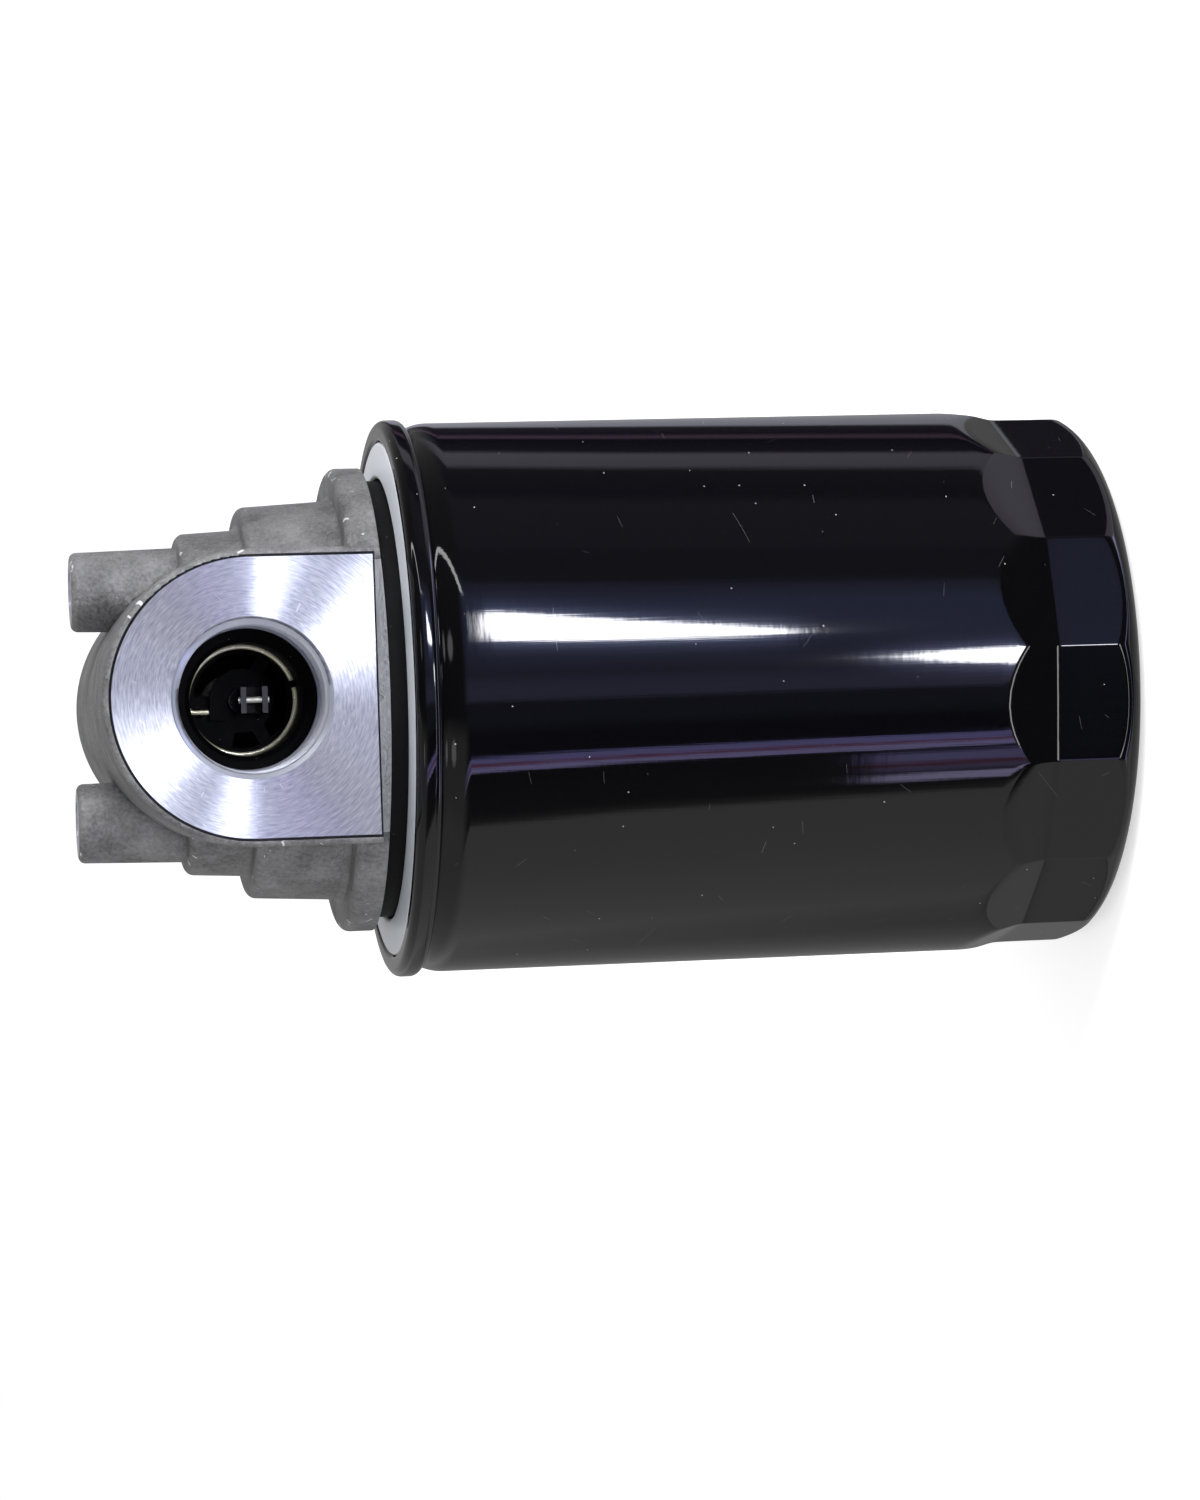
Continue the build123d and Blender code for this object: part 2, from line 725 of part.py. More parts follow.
# Guide plate: hub for the stem, outer ring, arms, a rib towards the hook and one closed web
with BuildPart() as valve_guide:
    guide_plane = Plane((0, -guide_position, port_axis), x_dir=(1, 0, 0), z_dir=(0, -1, 0))
    guide_radius = guide_bore_radius - guide_edge_gap
    guide_ring_inner = guide_radius - guide_ring_width
    stem_hole_radius = stem_radius + stem_gap
    with BuildSketch(guide_plane):
        Circle(guide_radius)
        Circle(guide_ring_inner, mode=Mode.SUBTRACT)
        with BuildLine():
            sector_radius = guide_radius - guide_ring_width / 2
            first = math.radians(guide_web_from)
            last = math.radians(guide_web_to)
            middle = (first + last) / 2
            Line((0, 0), (sector_radius * math.cos(first), sector_radius * math.sin(first)))
            ThreePointArc(
                (sector_radius * math.cos(first), sector_radius * math.sin(first)),
                (sector_radius * math.cos(middle), sector_radius * math.sin(middle)),
                (sector_radius * math.cos(last), sector_radius * math.sin(last)),
            )
            Line((sector_radius * math.cos(last), sector_radius * math.sin(last)), (0, 0))
        make_face()
        with PolarLocations(0, guide_arm_count, start_angle=90):
            Rectangle(sector_radius, guide_arm_width, align=(Align.MIN, Align.CENTER))
        Circle(guide_hub_radius)
        Circle(stem_hole_radius, mode=Mode.SUBTRACT)
    extrude(amount=guide_thickness)
    with BuildSketch(guide_plane.offset(guide_thickness)):
        with Locations((guide_rib_shift, guide_rib_inner)):
            rib_length = guide_hub_radius - guide_rib_inner
            Rectangle(guide_rib_width, rib_length, align=(Align.CENTER, Align.MIN))
    extrude(amount=guide_rib_height)
valve_guide.part.label = "valve_guide"
export_step(valve_guide.part, "parts/valve_guide.step")

# Retaining wire: a ring snapped into the housing's groove, with one end hooked inwards
with BuildPart() as retaining_wire:
    hook_angle = math.degrees(math.acos(hook_offset / wire_ring_radius))
    hook_reach = math.sqrt(wire_ring_radius**2 - hook_offset**2)
    wire_plane = Plane((0, -wire_position, port_axis), x_dir=(1, 0, 0), z_dir=(0, -1, 0))
    with BuildLine(wire_plane) as wire_path:
        Line((hook_offset, guide_hub_radius + wire_gap), (hook_offset, hook_reach))
        CenterArc((0, 0), wire_ring_radius, hook_angle, wire_end_angle - hook_angle - 360)
        bend = wire_path.vertices().sort_by_distance(wire_plane.from_local_coords((hook_offset, hook_reach)))[0]
        fillet(bend, hook_bend_radius)
    wire_start = wire_path.wires()[0]
    with BuildSketch(Plane(wire_start @ 0, z_dir=wire_start % 0)):
        Circle(wire_radius)
    sweep(path=wire_start)
retaining_wire.part.label = "retaining_wire"
export_step(retaining_wire.part, "parts/retaining_wire.step")

# Poppet: disc with the seal's recess, stem through the guide and a fork on its end
with BuildPart() as bypass_poppet:
    seal_outer_radius = seal_inner_radius + seal_width
    recess_face = seat_face - seal_thickness
    with BuildSketch(Plane.YZ):
        with BuildLine():
            Polyline(
                (poppet_far, port_axis),
                (poppet_far, port_axis + seal_inner_radius - seal_gap),
                (recess_face, port_axis + seal_inner_radius - seal_gap),
                (recess_face, port_axis + seal_outer_radius + seal_gap),
                (poppet_far, port_axis + seal_outer_radius + seal_gap),
                (poppet_far, port_axis + poppet_radius),
                (poppet_near, port_axis + poppet_radius),
                (poppet_near, port_axis + stem_radius),
                (-stem_end, port_axis + stem_radius),
                (-stem_end, port_axis),
                close=True,
            )
        make_face()
    revolve(axis=Axis((0, 0, port_axis), (0, 1, 0)))
    fork_plane = Plane((0, -stem_end, port_axis), x_dir=(1, 0, 0), z_dir=(0, -1, 0))
    with BuildSketch(fork_plane):
        with Locations((0, fork_offset)):
            Rectangle(fork_height, fork_spacing + fork_blade)
    extrude(amount=fork_base)
    with BuildSketch(fork_plane.offset(fork_base)):
        with Locations((0, fork_offset)):
            with GridLocations(0, fork_spacing, 1, 2):
                Rectangle(fork_height, fork_blade)
    extrude(amount=fork_length)
    with BuildSketch(Plane.XY.offset(port_axis + fork_offset)):
        with Locations((0, pin_inset - fork_end)):
            Circle(pin_radius + pin_gap)
    extrude(amount=fork_spacing, both=True, mode=Mode.SUBTRACT)
bypass_poppet.part.label = "bypass_poppet"
export_step(bypass_poppet.part, "parts/bypass_poppet.step")

# Cross pin through the fork
with BuildPart() as stem_pin:
    with BuildSketch(Plane.XY.offset(port_axis + fork_offset)):
        with Locations((0, pin_inset - fork_end)):
            Circle(pin_radius)
    extrude(amount=(fork_spacing + fork_blade) / 2 + pin_proud, both=True)
stem_pin.part.label = "stem_pin"
export_step(stem_pin.part, "parts/stem_pin.step")

# Seal washer in the poppet's recess, pressed to the seat
with BuildPart() as poppet_seal:
    with BuildSketch(Plane((0, seat_face, port_axis), x_dir=(1, 0, 0), z_dir=(0, -1, 0))):
        Circle(seal_outer_radius)
        Circle(seal_inner_radius, mode=Mode.SUBTRACT)
    extrude(amount=seal_thickness)
poppet_seal.part.label = "poppet_seal"
export_step(poppet_seal.part, "parts/poppet_seal.step")

# Bypass spring between the guide plate and the poppet
with BuildPart() as bypass_spring:
    coil_start = valve_wire_radius + spring_end_gap - guide_position
    coil_length = poppet_near + guide_position - 2 * (valve_wire_radius + spring_end_gap)
    with BuildLine() as valve_coil:
        Helix(
            pitch=coil_length / valve_turns,
            height=coil_length,
            radius=valve_spring_radius,
            center=(0, coil_start, port_axis),
            direction=(0, 1, 0),
        )
    with BuildSketch(Plane(valve_coil.line @ 0, z_dir=valve_coil.line % 0)):
        Circle(valve_wire_radius)
    sweep(path=valve_coil.line, is_frenet=True)
bypass_spring.part.label = "bypass_spring"
export_step(bypass_spring.part, "parts/bypass_spring.step")
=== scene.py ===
# %% [markdown]
# # A return oil filter, dressed around its CAD solids
# The filter is a cast aluminium head with two threaded ports, and a black painted can that screws
# on below it. Its solids come packed from CAD and hold every true size. This lesson gives them
# their looks: paint, castings, turned faces, threads and light. It starts by loading the solids
# as a fixed frame, because every new surface has to sit exactly where a solid sits.

# %% Load the frame
import json
import math

import bmesh
import bpy
import numpy as np
from mathutils import Matrix, Vector


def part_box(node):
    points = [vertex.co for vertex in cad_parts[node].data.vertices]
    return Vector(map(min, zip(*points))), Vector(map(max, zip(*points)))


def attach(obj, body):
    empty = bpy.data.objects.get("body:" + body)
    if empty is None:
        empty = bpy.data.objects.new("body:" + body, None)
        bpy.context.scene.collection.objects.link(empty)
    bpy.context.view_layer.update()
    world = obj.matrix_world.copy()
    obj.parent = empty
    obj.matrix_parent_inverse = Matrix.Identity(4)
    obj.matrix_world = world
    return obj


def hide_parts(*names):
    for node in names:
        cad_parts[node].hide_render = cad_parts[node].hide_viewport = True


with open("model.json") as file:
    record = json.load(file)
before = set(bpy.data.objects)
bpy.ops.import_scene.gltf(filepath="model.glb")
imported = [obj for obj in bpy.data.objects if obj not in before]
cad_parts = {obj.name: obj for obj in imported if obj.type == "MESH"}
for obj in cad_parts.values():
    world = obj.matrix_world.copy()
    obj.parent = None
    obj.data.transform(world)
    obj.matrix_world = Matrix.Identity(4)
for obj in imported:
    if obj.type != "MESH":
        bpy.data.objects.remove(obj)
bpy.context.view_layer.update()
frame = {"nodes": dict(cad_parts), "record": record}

MM = 0.001
can_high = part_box("can_shell")[1]
head_low, head_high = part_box("filter_head")

# %% [markdown]
# ## The camera
# The photograph was taken with a long lens from a little above the middle of the filter, and the
# picture lies on its side: its left is the filter's top. A camera is turned by three plain angles:
# about the vertical, down from the horizon, and a roll about its own line of sight.

# %% Camera
CAMERA_PLACE = (-13.57 * MM, -731.76 * MM, 212.58 * MM)
VIEW_TURN = math.radians(-0.266)
VIEW_DROP = math.radians(9.749)
PICTURE_ROLL = math.radians(-91.879)
LENS_MM = 100.89
SENSOR_MM = 36.0


def new_object(name, data):
    """An object in the scene that shows a mesh, a lamp or a camera."""
    made = bpy.data.objects.new(name, data)
    bpy.context.scene.collection.objects.link(made)
    return made


camera = new_object("camera", bpy.data.cameras.new("camera"))
bpy.context.scene.camera = camera
turned = Matrix.Rotation(VIEW_TURN, 4, "Z") @ Matrix.Rotation(math.pi / 2 - VIEW_DROP, 4, "X")
camera.matrix_world = Matrix.Translation(CAMERA_PLACE) @ turned @ Matrix.Rotation(PICTURE_ROLL, 4, "Z")
camera.data.lens = LENS_MM
camera.data.sensor_width = SENSOR_MM
print("camera looks along", [round(value, 3) for value in -camera.matrix_world.col[2].xyz])

# %% [markdown]
# ## Surfaces from arrays
# Every new piece is a grid of points worked out by numpy: rows run along the shape's profile and
# columns run around it. One helper turns such a grid into a mesh. Rows or columns that close on
# themselves share their points, and points that fall together at a pole are merged, so that each
# piece is a closed skin.

# %% Grid to mesh
MERGE_DISTANCE = 1e-7
SHARP_ANGLE = math.radians(35)


def grid_faces(index):
    """The faces of a grid of point numbers. Each joins four neighbours."""
    corners = (index[:-1, :-1], index[:-1, 1:], index[1:, 1:], index[1:, :-1])
    return np.stack(corners, axis=-1).reshape(-1, 4)


def grid_piece(name, points, close_rows=False, sharp=SHARP_ANGLE):
    """A mesh object from points[row, column], whose columns close into rings.

    The grid is closed by repeating its first index column, and its first index row if the rows
    close too. Edges whose faces meet at more than the angle sharp stay sharp.
    """
    rows, columns = points.shape[:2]
    index = np.arange(rows * columns).reshape(rows, columns)
    index = np.hstack((index, index[:, :1]))
    if close_rows:
        index = np.vstack((index, index[:1]))
    mesh = bpy.data.meshes.new(name)
    mesh.from_pydata(points.reshape(-1, 3), [], grid_faces(index))
    finish_mesh(mesh, sharp)
    return new_object(name, mesh)


def finish_mesh(mesh, sharp=SHARP_ANGLE):
    """Merges points that lie together, turns the faces outwards and sets smooth shading."""
    work = bmesh.new()
    work.from_mesh(mesh)
    bmesh.ops.remove_doubles(work, verts=work.verts, dist=MERGE_DISTANCE)
    bmesh.ops.recalc_face_normals(work, faces=work.faces)
    work.to_mesh(mesh)
    work.free()
    mesh.shade_smooth()
    mesh.set_sharp_from_angle(angle=sharp)


def weigh_normals(piece):
    """Lets large faces rule the shading, so that flats beside small rounds look flat."""
    modifier = piece.modifiers.new("even_shading", "WEIGHTED_NORMAL")
    modifier.keep_sharp = True


def report(piece):
    """Prints how many triangles a piece has. A face of n corners makes n - 2."""
    print(piece.name, "has", len(piece.data.loops) - 2 * len(piece.data.polygons), "triangles")


# %% [markdown]
# ## Turned and rolled parts
# Sheet rings, gaskets and seams are bodies of revolution. Their outline is drawn once as corners
# with radii, and carried around the axis. A corner's round is an arc of a circle that touches
# both sides, so it starts at a distance of radius times the tangent of half the turn.

# %% Outlines and revolving
ROUND_STEPS = 6
TURN_STEPS = 240


def rounded_outline(corners, radii):
    """Points of a closed outline, with each corner replaced by an arc that touches its two sides.

    With a the unit vector to the corner before and b to the one after, the arc's centre lies on
    their bisector at radius over the sine of half the angle between them. The arc is swept by
    blending the two touching points and pushing each blend out to the arc's radius.
    """
    corners = np.asarray(corners, float)
    befores = np.roll(corners, 1, 0)
    afters = np.roll(corners, -1, 0)
    points = []
    for corner, before, after, radius in zip(corners, befores, afters, radii):
        if radius == 0:
            points.append(corner[None])
            continue
        to_before = (before - corner) / np.linalg.norm(before - corner)
        to_after = (after - corner) / np.linalg.norm(after - corner)
        half = math.acos(np.clip(to_before @ to_after, -1, 1)) / 2
        bisector = (to_before + to_after) / np.linalg.norm(to_before + to_after)
        centre = corner + bisector * radius / math.sin(half)
        reach = radius / math.tan(half)
        share = np.linspace(0, 1, ROUND_STEPS + 1)[:, None]
        chord = (corner + to_before * reach) * (1 - share) + (corner + to_after * reach) * share
        spokes = chord - centre
        points.append(centre + spokes * radius / np.linalg.norm(spokes, axis=1, keepdims=True))
    return np.vstack(points)


def around_axis(radius, height, angle):
    """Points (radius cos t, radius sin t, height) about the Z axis, for each angle t of a column."""
    return np.stack((radius * np.cos(angle), radius * np.sin(angle), height + 0 * angle), axis=-1)


def ring_rows(outline, angle):
    """A row of points at each angle for every (radius, height) of an outline."""
    return around_axis(outline[:, :1], outline[:, 1:], angle)


def revolved(name, outline):
    """A piece from a closed outline of (radius, height) points in mm, carried around the Z axis."""
    turn = np.linspace(0, 2 * math.pi, TURN_STEPS, endpoint=False)
    piece = grid_piece(name, ring_rows(outline, turn) * MM, close_rows=True)
    weigh_normals(piece)
    return piece


# %% [markdown]
# ## The can
# The can is deep drawn from sheet, with fifteen wrench flats pressed into its closed end. Above
# each flat the metal slopes out to the round body and meets it in a lens-shaped edge. Gloss paint
# shows the smallest facet, so this surface comes from a formula: its radius is the smaller of the
# round body's and the flats', blended softly where they cross. The rows of the grid follow the
# crossing lines, so each edge is smooth all the way round.

# %% Can sizes, the same as in the solids
CAN_RADIUS = 48.0
CAN_WALL = 0.8
FLAT_COUNT = 15
FLAT_TURN = math.radians(23.7)
WRENCH_SIZE = 93.0
FLAT_HEIGHT = 16.6
FLAT_SLOPE = math.tan(math.radians(15.2))
FLAT_CORNER_ROUND = 1.3
END_CORNER = 8.2
END_DRAW = 0.85
BODY_HEIGHT = 116.35
SHOULDER_HEIGHT = 4.1
NECK_RADIUS = 47.0
NECK_HEIGHT = 0.4
SEAM_TOP = can_high.z / MM
SEAM_BASE = BODY_HEIGHT + SHOULDER_HEIGHT + NECK_HEIGHT
SEAM_REACH = 0.65
SEAM_RADIUS = CAN_RADIUS + SEAM_REACH
SEAM_SECTION = 3.65
SEAM_ROUNDS = (0.3, 1.5, 1.5, 0.7)
SEAM_LIP = 0.1
SEAM_FOOT = 0.9
LID_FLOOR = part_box("can_gasket")[0].z / MM
EDGE_BLEND = 0.5
SLOPE_BLEND = 0.8
CAN_SHARP_ANGLE = math.radians(50)

half_sector = math.pi / FLAT_COUNT
CORNER_DISTANCE = WRENCH_SIZE / (1 + math.cos(half_sector))
FLAT_DISTANCE = CORNER_DISTANCE * math.cos(half_sector)
END_RADIUS = CORNER_DISTANCE + END_DRAW
print("flat distance", round(FLAT_DISTANCE, 2), "corner distance", round(CORNER_DISTANCE, 2))


# %% Soft crossing
def soft_min(first, second, width):
    """The smaller of two values, rounded off where they differ by less than width.

    With h = max(width - |first - second|, 0) / width, it is min(first, second) - h^2 width / 4.
    """
    share = np.maximum(width - np.abs(first - second), 0) / width
    return np.minimum(first, second) - share**2 * width / 4


# %% Wrench flats
def flats_radius(offset, height, inset):
    """Distance from the axis to the wrench flats, at an angle of offset from a flat's middle.

    A flat lies at FLAT_DISTANCE and moves out by FLAT_SLOPE for each unit above FLAT_HEIGHT, with
    a soft start. Near a corner the outline is an arc about a point on the corner's own direction.
    """
    above = height - FLAT_HEIGHT
    rise = (above + np.sqrt(above**2 + SLOPE_BLEND**2)) / 2
    distance = FLAT_DISTANCE + rise * FLAT_SLOPE - SLOPE_BLEND * FLAT_SLOPE / 4 - inset
    corner_round = FLAT_CORNER_ROUND - inset
    straight = distance / np.cos(offset)
    centre = (distance - corner_round) / math.cos(half_sector)
    beside = half_sector - np.abs(offset)
    arc = centre * np.cos(beside) + np.sqrt(np.maximum(corner_round**2 - (centre * np.sin(beside)) ** 2, 0))
    touch = np.arctan2(centre * math.sin(half_sector), distance)
    return np.where(np.abs(offset) < touch, straight, arc)


# %% Closed end, flats and body
def can_rows(offset, inset):
    """Round radius and height of every row below the shoulder, as arrays[row, column].

    The rows run over the closed end's disc, its corner arc, a flat, the slope above the flat and
    the round body. Their limits are the lines where those surfaces cross, solved for each column.
    """
    corner = END_CORNER - inset
    middle = END_RADIUS - END_CORNER
    flat = FLAT_DISTANCE - inset
    crossing = np.arccos(np.clip((flat / np.cos(offset) - middle) / corner, -1, 1))
    lens = FLAT_HEIGHT + ((CAN_RADIUS - inset) * np.cos(offset) - flat) / FLAT_SLOPE

    disc = np.array([0.0, 0.3, 0.6, 0.85, 0.97, 1.0])[:, None]
    arc = np.array([0.02, 0.1, 0.2, 0.32, 0.44, 0.56, 0.68, 0.78, 0.86, 0.92, 0.96, 0.99, 1.0])[:, None]
    arc_angle = arc * (math.pi / 2 - crossing)
    arc_height = inset + corner * (1 - np.cos(arc_angle))
    flat_share = np.array([0.02, 0.05, 0.1, 0.2, 0.4, 0.62, 0.8, 0.9, 0.96, 1.0])[:, None]
    flat_start = arc_height[-1]
    slope_share = np.array([0.04, 0.08, 0.14, 0.25, 0.45, 0.65, 0.8, 0.88, 0.94, 0.98, 1.0])[:, None]
    body_share = np.array([0.006, 0.012, 0.02, 0.035, 0.06, 0.15, 0.4, 0.7, 1.0])[:, None]

    radius = np.vstack((
        disc * middle + 0 * offset,
        middle + corner * np.sin(arc_angle),
    ))
    height = np.vstack((
        inset + 0 * disc * offset,
        arc_height,
        flat_start + flat_share * (FLAT_HEIGHT - flat_start),
        FLAT_HEIGHT + slope_share * (lens - FLAT_HEIGHT),
        lens + body_share * (BODY_HEIGHT - lens),
    ))
    upper = height[len(radius):]
    round_share = np.clip((upper - END_CORNER) / (FLAT_HEIGHT - END_CORNER), 0, 1)
    below = np.clip(END_CORNER - upper, 0, corner)
    swell = np.where(upper < END_CORNER, middle + np.sqrt(corner**2 - below**2), END_RADIUS - inset)
    swell = swell + round_share * (CAN_RADIUS - END_RADIUS)
    return np.vstack((radius, swell)), height


# %% One skin of the can
def can_skin(inset):
    """Points of one skin of the can up to the shoulder's start, inset from the outer one."""
    share = np.array([0, 0.25, 0.5, 0.7, 0.83, 0.91, 0.95, 0.972, 0.984, 0.993])
    offset = half_sector * np.concatenate((-share[:0:-1], share, [1.0]))
    radius, height = can_rows(offset, inset)
    radius = soft_min(radius, flats_radius(offset, height, inset), EDGE_BLEND)
    turn = FLAT_TURN + 2 * half_sector * np.arange(FLAT_COUNT)
    angle = (turn[:, None] + offset).reshape(-1)
    return around_axis(np.tile(radius, FLAT_COUNT), np.tile(height, FLAT_COUNT), angle), angle


# %% Shoulder and rolled seam
SHOULDER_STEPS = 9


def shoulder_rows(angle, inset):
    """Rows of the shoulder, an arc that leaves the body upright and ends at the neck.

    For a draw of d over a height of h, the arc's radius is (d^2 + h^2) / (2 d).
    """
    draw = CAN_RADIUS - NECK_RADIUS
    arc_radius = (draw**2 + SHOULDER_HEIGHT**2) / (2 * draw)
    rise = np.linspace(0, 1, SHOULDER_STEPS + 1)[1:] * SHOULDER_HEIGHT
    radius = CAN_RADIUS - inset - arc_radius + np.sqrt(arc_radius**2 - rise**2)
    return ring_rows(np.stack((radius, BODY_HEIGHT + rise), axis=-1), angle)


def can_shell():
    """The whole can: outer skin, shoulder, rolled seam, and the inner skin back to the middle."""
    outer, angle = can_skin(0.0)
    inner, _ = can_skin(CAN_WALL)
    seam = rounded_outline(
        (
            (NECK_RADIUS, SEAM_BASE),
            (SEAM_RADIUS, SEAM_BASE),
            (SEAM_RADIUS, SEAM_TOP),
            (SEAM_RADIUS - SEAM_SECTION, SEAM_TOP),
            (SEAM_RADIUS - SEAM_SECTION, LID_FLOOR + SEAM_LIP),
            (SEAM_RADIUS - CAN_WALL, LID_FLOOR + SEAM_LIP),
            (SEAM_RADIUS - CAN_WALL, LID_FLOOR - SEAM_FOOT),
            (NECK_RADIUS - CAN_WALL, LID_FLOOR - SEAM_FOOT),
        ),
        SEAM_ROUNDS + (0,) * 4,
    )
    outer_neck = shoulder_rows(angle, 0.0)
    inner_neck = shoulder_rows(angle, CAN_WALL)
    points = np.concatenate((
        outer,
        outer_neck,
        ring_rows(seam, angle),
        inner_neck[::-1],
        inner[::-1],
    ))
    return grid_piece("can_skin", points * MM, sharp=CAN_SHARP_ANGLE)


can = can_shell()
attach(can, "can")
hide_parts("can_shell")
report(can)

# %% [markdown]
# ## Lid and gasket
# The seaming lid is a pressed zinc ring. It forms the channel that holds the rubber gasket and
# falls off to the seam. Both are revolved from short outlines.

# %% Sizes of the lid and the gasket
GASKET_INNER = 31.7
GASKET_OUTER = 38.1
GASKET_TOP = head_low.z / MM
GASKET_GAP = 0.3
GASKET_ROUND = 0.6
LID_SHEET = 0.8
LID_COLLAR = 2.6
LID_RISE = 2.0
LID_FALL = 0.6
LID_CLEARANCE = 0.1
LID_ROUNDS = (0, 0.35, 0.35, 0.4, 0.4, 0.7, 0.7)
LID_TOP = LID_FLOOR + LID_RISE
PLATE_TOP = LID_FLOOR - LID_SHEET
CHANNEL_INNER = GASKET_INNER - GASKET_GAP
CHANNEL_OUTER = GASKET_OUTER + GASKET_GAP
LID_EDGE = SEAM_RADIUS - SEAM_SECTION - LID_CLEARANCE
LID_FLANGE = SEAM_RADIUS - CAN_WALL - LID_CLEARANCE
print("gasket channel from", round(CHANNEL_INNER, 2), "to", round(CHANNEL_OUTER, 2), "in radius")

# %% Lid
lid = revolved("zinc_lid", rounded_outline(
    (
        (CHANNEL_INNER - LID_SHEET, PLATE_TOP),
        (CHANNEL_INNER - LID_SHEET, PLATE_TOP + LID_COLLAR),
        (CHANNEL_INNER, PLATE_TOP + LID_COLLAR),
        (CHANNEL_INNER, LID_FLOOR),
        (CHANNEL_OUTER, LID_FLOOR),
        (CHANNEL_OUTER, LID_TOP),
        (LID_EDGE, LID_TOP - LID_FALL),
        (LID_EDGE, LID_FLOOR),
        (LID_FLANGE, LID_FLOOR),
        (LID_FLANGE, PLATE_TOP),
        (LID_EDGE - LID_SHEET, PLATE_TOP),
        (LID_EDGE - LID_SHEET, LID_TOP - LID_FALL - LID_SHEET),
        (CHANNEL_OUTER + LID_SHEET, LID_TOP - LID_SHEET),
        (CHANNEL_OUTER + LID_SHEET, PLATE_TOP),
    ),
    LID_ROUNDS + (0,) * 7,
))
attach(lid, "can")
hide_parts("seaming_lid")
report(lid)

# %% Gasket
gasket = revolved("rubber_ring", rounded_outline(
    (
        (GASKET_INNER, LID_FLOOR),
        (GASKET_OUTER, LID_FLOOR),
        (GASKET_OUTER, GASKET_TOP),
        (GASKET_INNER, GASKET_TOP),
    ),
    (GASKET_ROUND,) * 4,
))
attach(gasket, "gasket")
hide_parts("can_gasket")
report(gasket)

# %% [markdown]
# ## Threads
# A screw thread is one ridge that climbs one pitch a turn. It is made here as a threaded rod: the
# grid is sheared, so that its rows run along the helix and its edges stay crisp. At its ends the
# rod's height is held to a flat, and the points that fall together there are merged. The rod then
# cuts its groove into the casting, as a tap does.

# %% Threaded rod
THREAD_COLUMNS = 96
TOP_FADE = 0.25


def thread_rod(low_radius, high_radius, pitch, length):
    """A closed rod along Z from 0 to length, with a right-hand ridge whose section is a trapezoid.

    A row's share s of the pitch and a column's angle t give the height pitch (s + t / 2 pi), held
    between 0 and length. The radius is low_radius on the core and high_radius on the ridge. The
    ridge fades to the core over the first pitch, and over TOP_FADE below the top, so that all
    rows meet in one circle at either end. Returns the points and the faces that join them.
    """
    land = 1 / 12
    shares = np.array([-land, land, 0.5 - land, 0.5 + land])
    tops = np.array([0.0, 0.0, 1.0, 1.0])
    turns = math.ceil(length / pitch) + 1
    row_share = (np.arange(-1, turns)[:, None] + shares).reshape(-1)
    row_top = np.tile(tops, turns + 1)
    angle = np.linspace(0, 2 * math.pi, THREAD_COLUMNS, endpoint=False)
    height = np.clip(pitch * (row_share[:, None] + angle / (2 * math.pi)), 0, length)
    ends = np.clip(height / pitch, 0, 1) * np.clip((length - height) / TOP_FADE, 0, 1)
    radius = low_radius + (high_radius - low_radius) * row_top[:, None] * ends
    rows = len(row_share)
    index = np.arange(rows * THREAD_COLUMNS).reshape(rows, THREAD_COLUMNS)
    one_pitch_on = np.minimum(np.arange(rows) + len(shares), rows - 1)
    faces = grid_faces(np.hstack((index, index[one_pitch_on, :1])))
    ordered = np.sort(faces, axis=1)
    distinct = (ordered[:, 1:] != ordered[:, :-1]).all(axis=1)
    return around_axis(radius, height, angle).reshape(-1, 3) * MM, faces[distinct]


# %% [markdown]
# ## The cast head
# The head is one aluminium casting, so its form stays the solid's own. A copy of the solid's mesh
# is merged and tapped by the threaded rods. Cutting real threads costs a few thousand faces, and
# their edges catch the light at the mouth of the port as a picture of a thread wouldn't.

# %% Head sizes
INCH = 25.4
PORT_RISE = 23.3
PORT_AXIS = head_low.z / MM + PORT_RISE
PORT_RADIUS = 12.06
PORT_MAJOR = 13.2
PORT_PITCH = INCH / 14
PORT_THREAD = 11.0
PORT_OVERSHOOT = 0.4
PAD_DISTANCE = head_high.y / MM
PAD_HALF_WIDTH = 23.3
PAD_DEPTH = 20.7
# Width of the dark line along the pad's outline, partly a burr and partly painted shadow.
BURR_AND_SHADE_WIDTH = 0.3
FLANGE_HEIGHT = 5.3
FLANGE_TOP = head_low.z / MM + FLANGE_HEIGHT
BOSS_TOP = head_high.z / MM
BOSS_SPACING = 40.0
BOSS_HOLE = 3.4
BOSS_MAJOR = 4.0
BOSS_PITCH = 1.25
BOSS_THREAD = 17.5
BOSS_OVERSHOOT = 0.3
ROD_CLEARANCE = 0.05
HEAD_SHARP_ANGLE = math.radians(30)


# %% Threaded rods in place
def rod_object(name, points, faces, matrix):
    """A threaded rod as a mesh object, capped at both ends and placed by matrix."""
    mesh = bpy.data.meshes.new(name)
    mesh.from_pydata(points, [], faces)
    mesh.transform(matrix)
    work = bmesh.new()
    work.from_mesh(mesh)
    bmesh.ops.remove_doubles(work, verts=work.verts, dist=MERGE_DISTANCE)
    bmesh.ops.dissolve_degenerate(work, edges=work.edges, dist=MERGE_DISTANCE)
    rims = [edge for edge in work.edges if edge.is_boundary]
    bmesh.ops.holes_fill(work, edges=rims)
    bmesh.ops.recalc_face_normals(work, faces=work.faces)
    print(name, "faces", len(work.faces), "open edges", sum(not edge.is_manifold for edge in work.edges))
    work.to_mesh(mesh)
    work.free()
    return new_object(name, mesh)


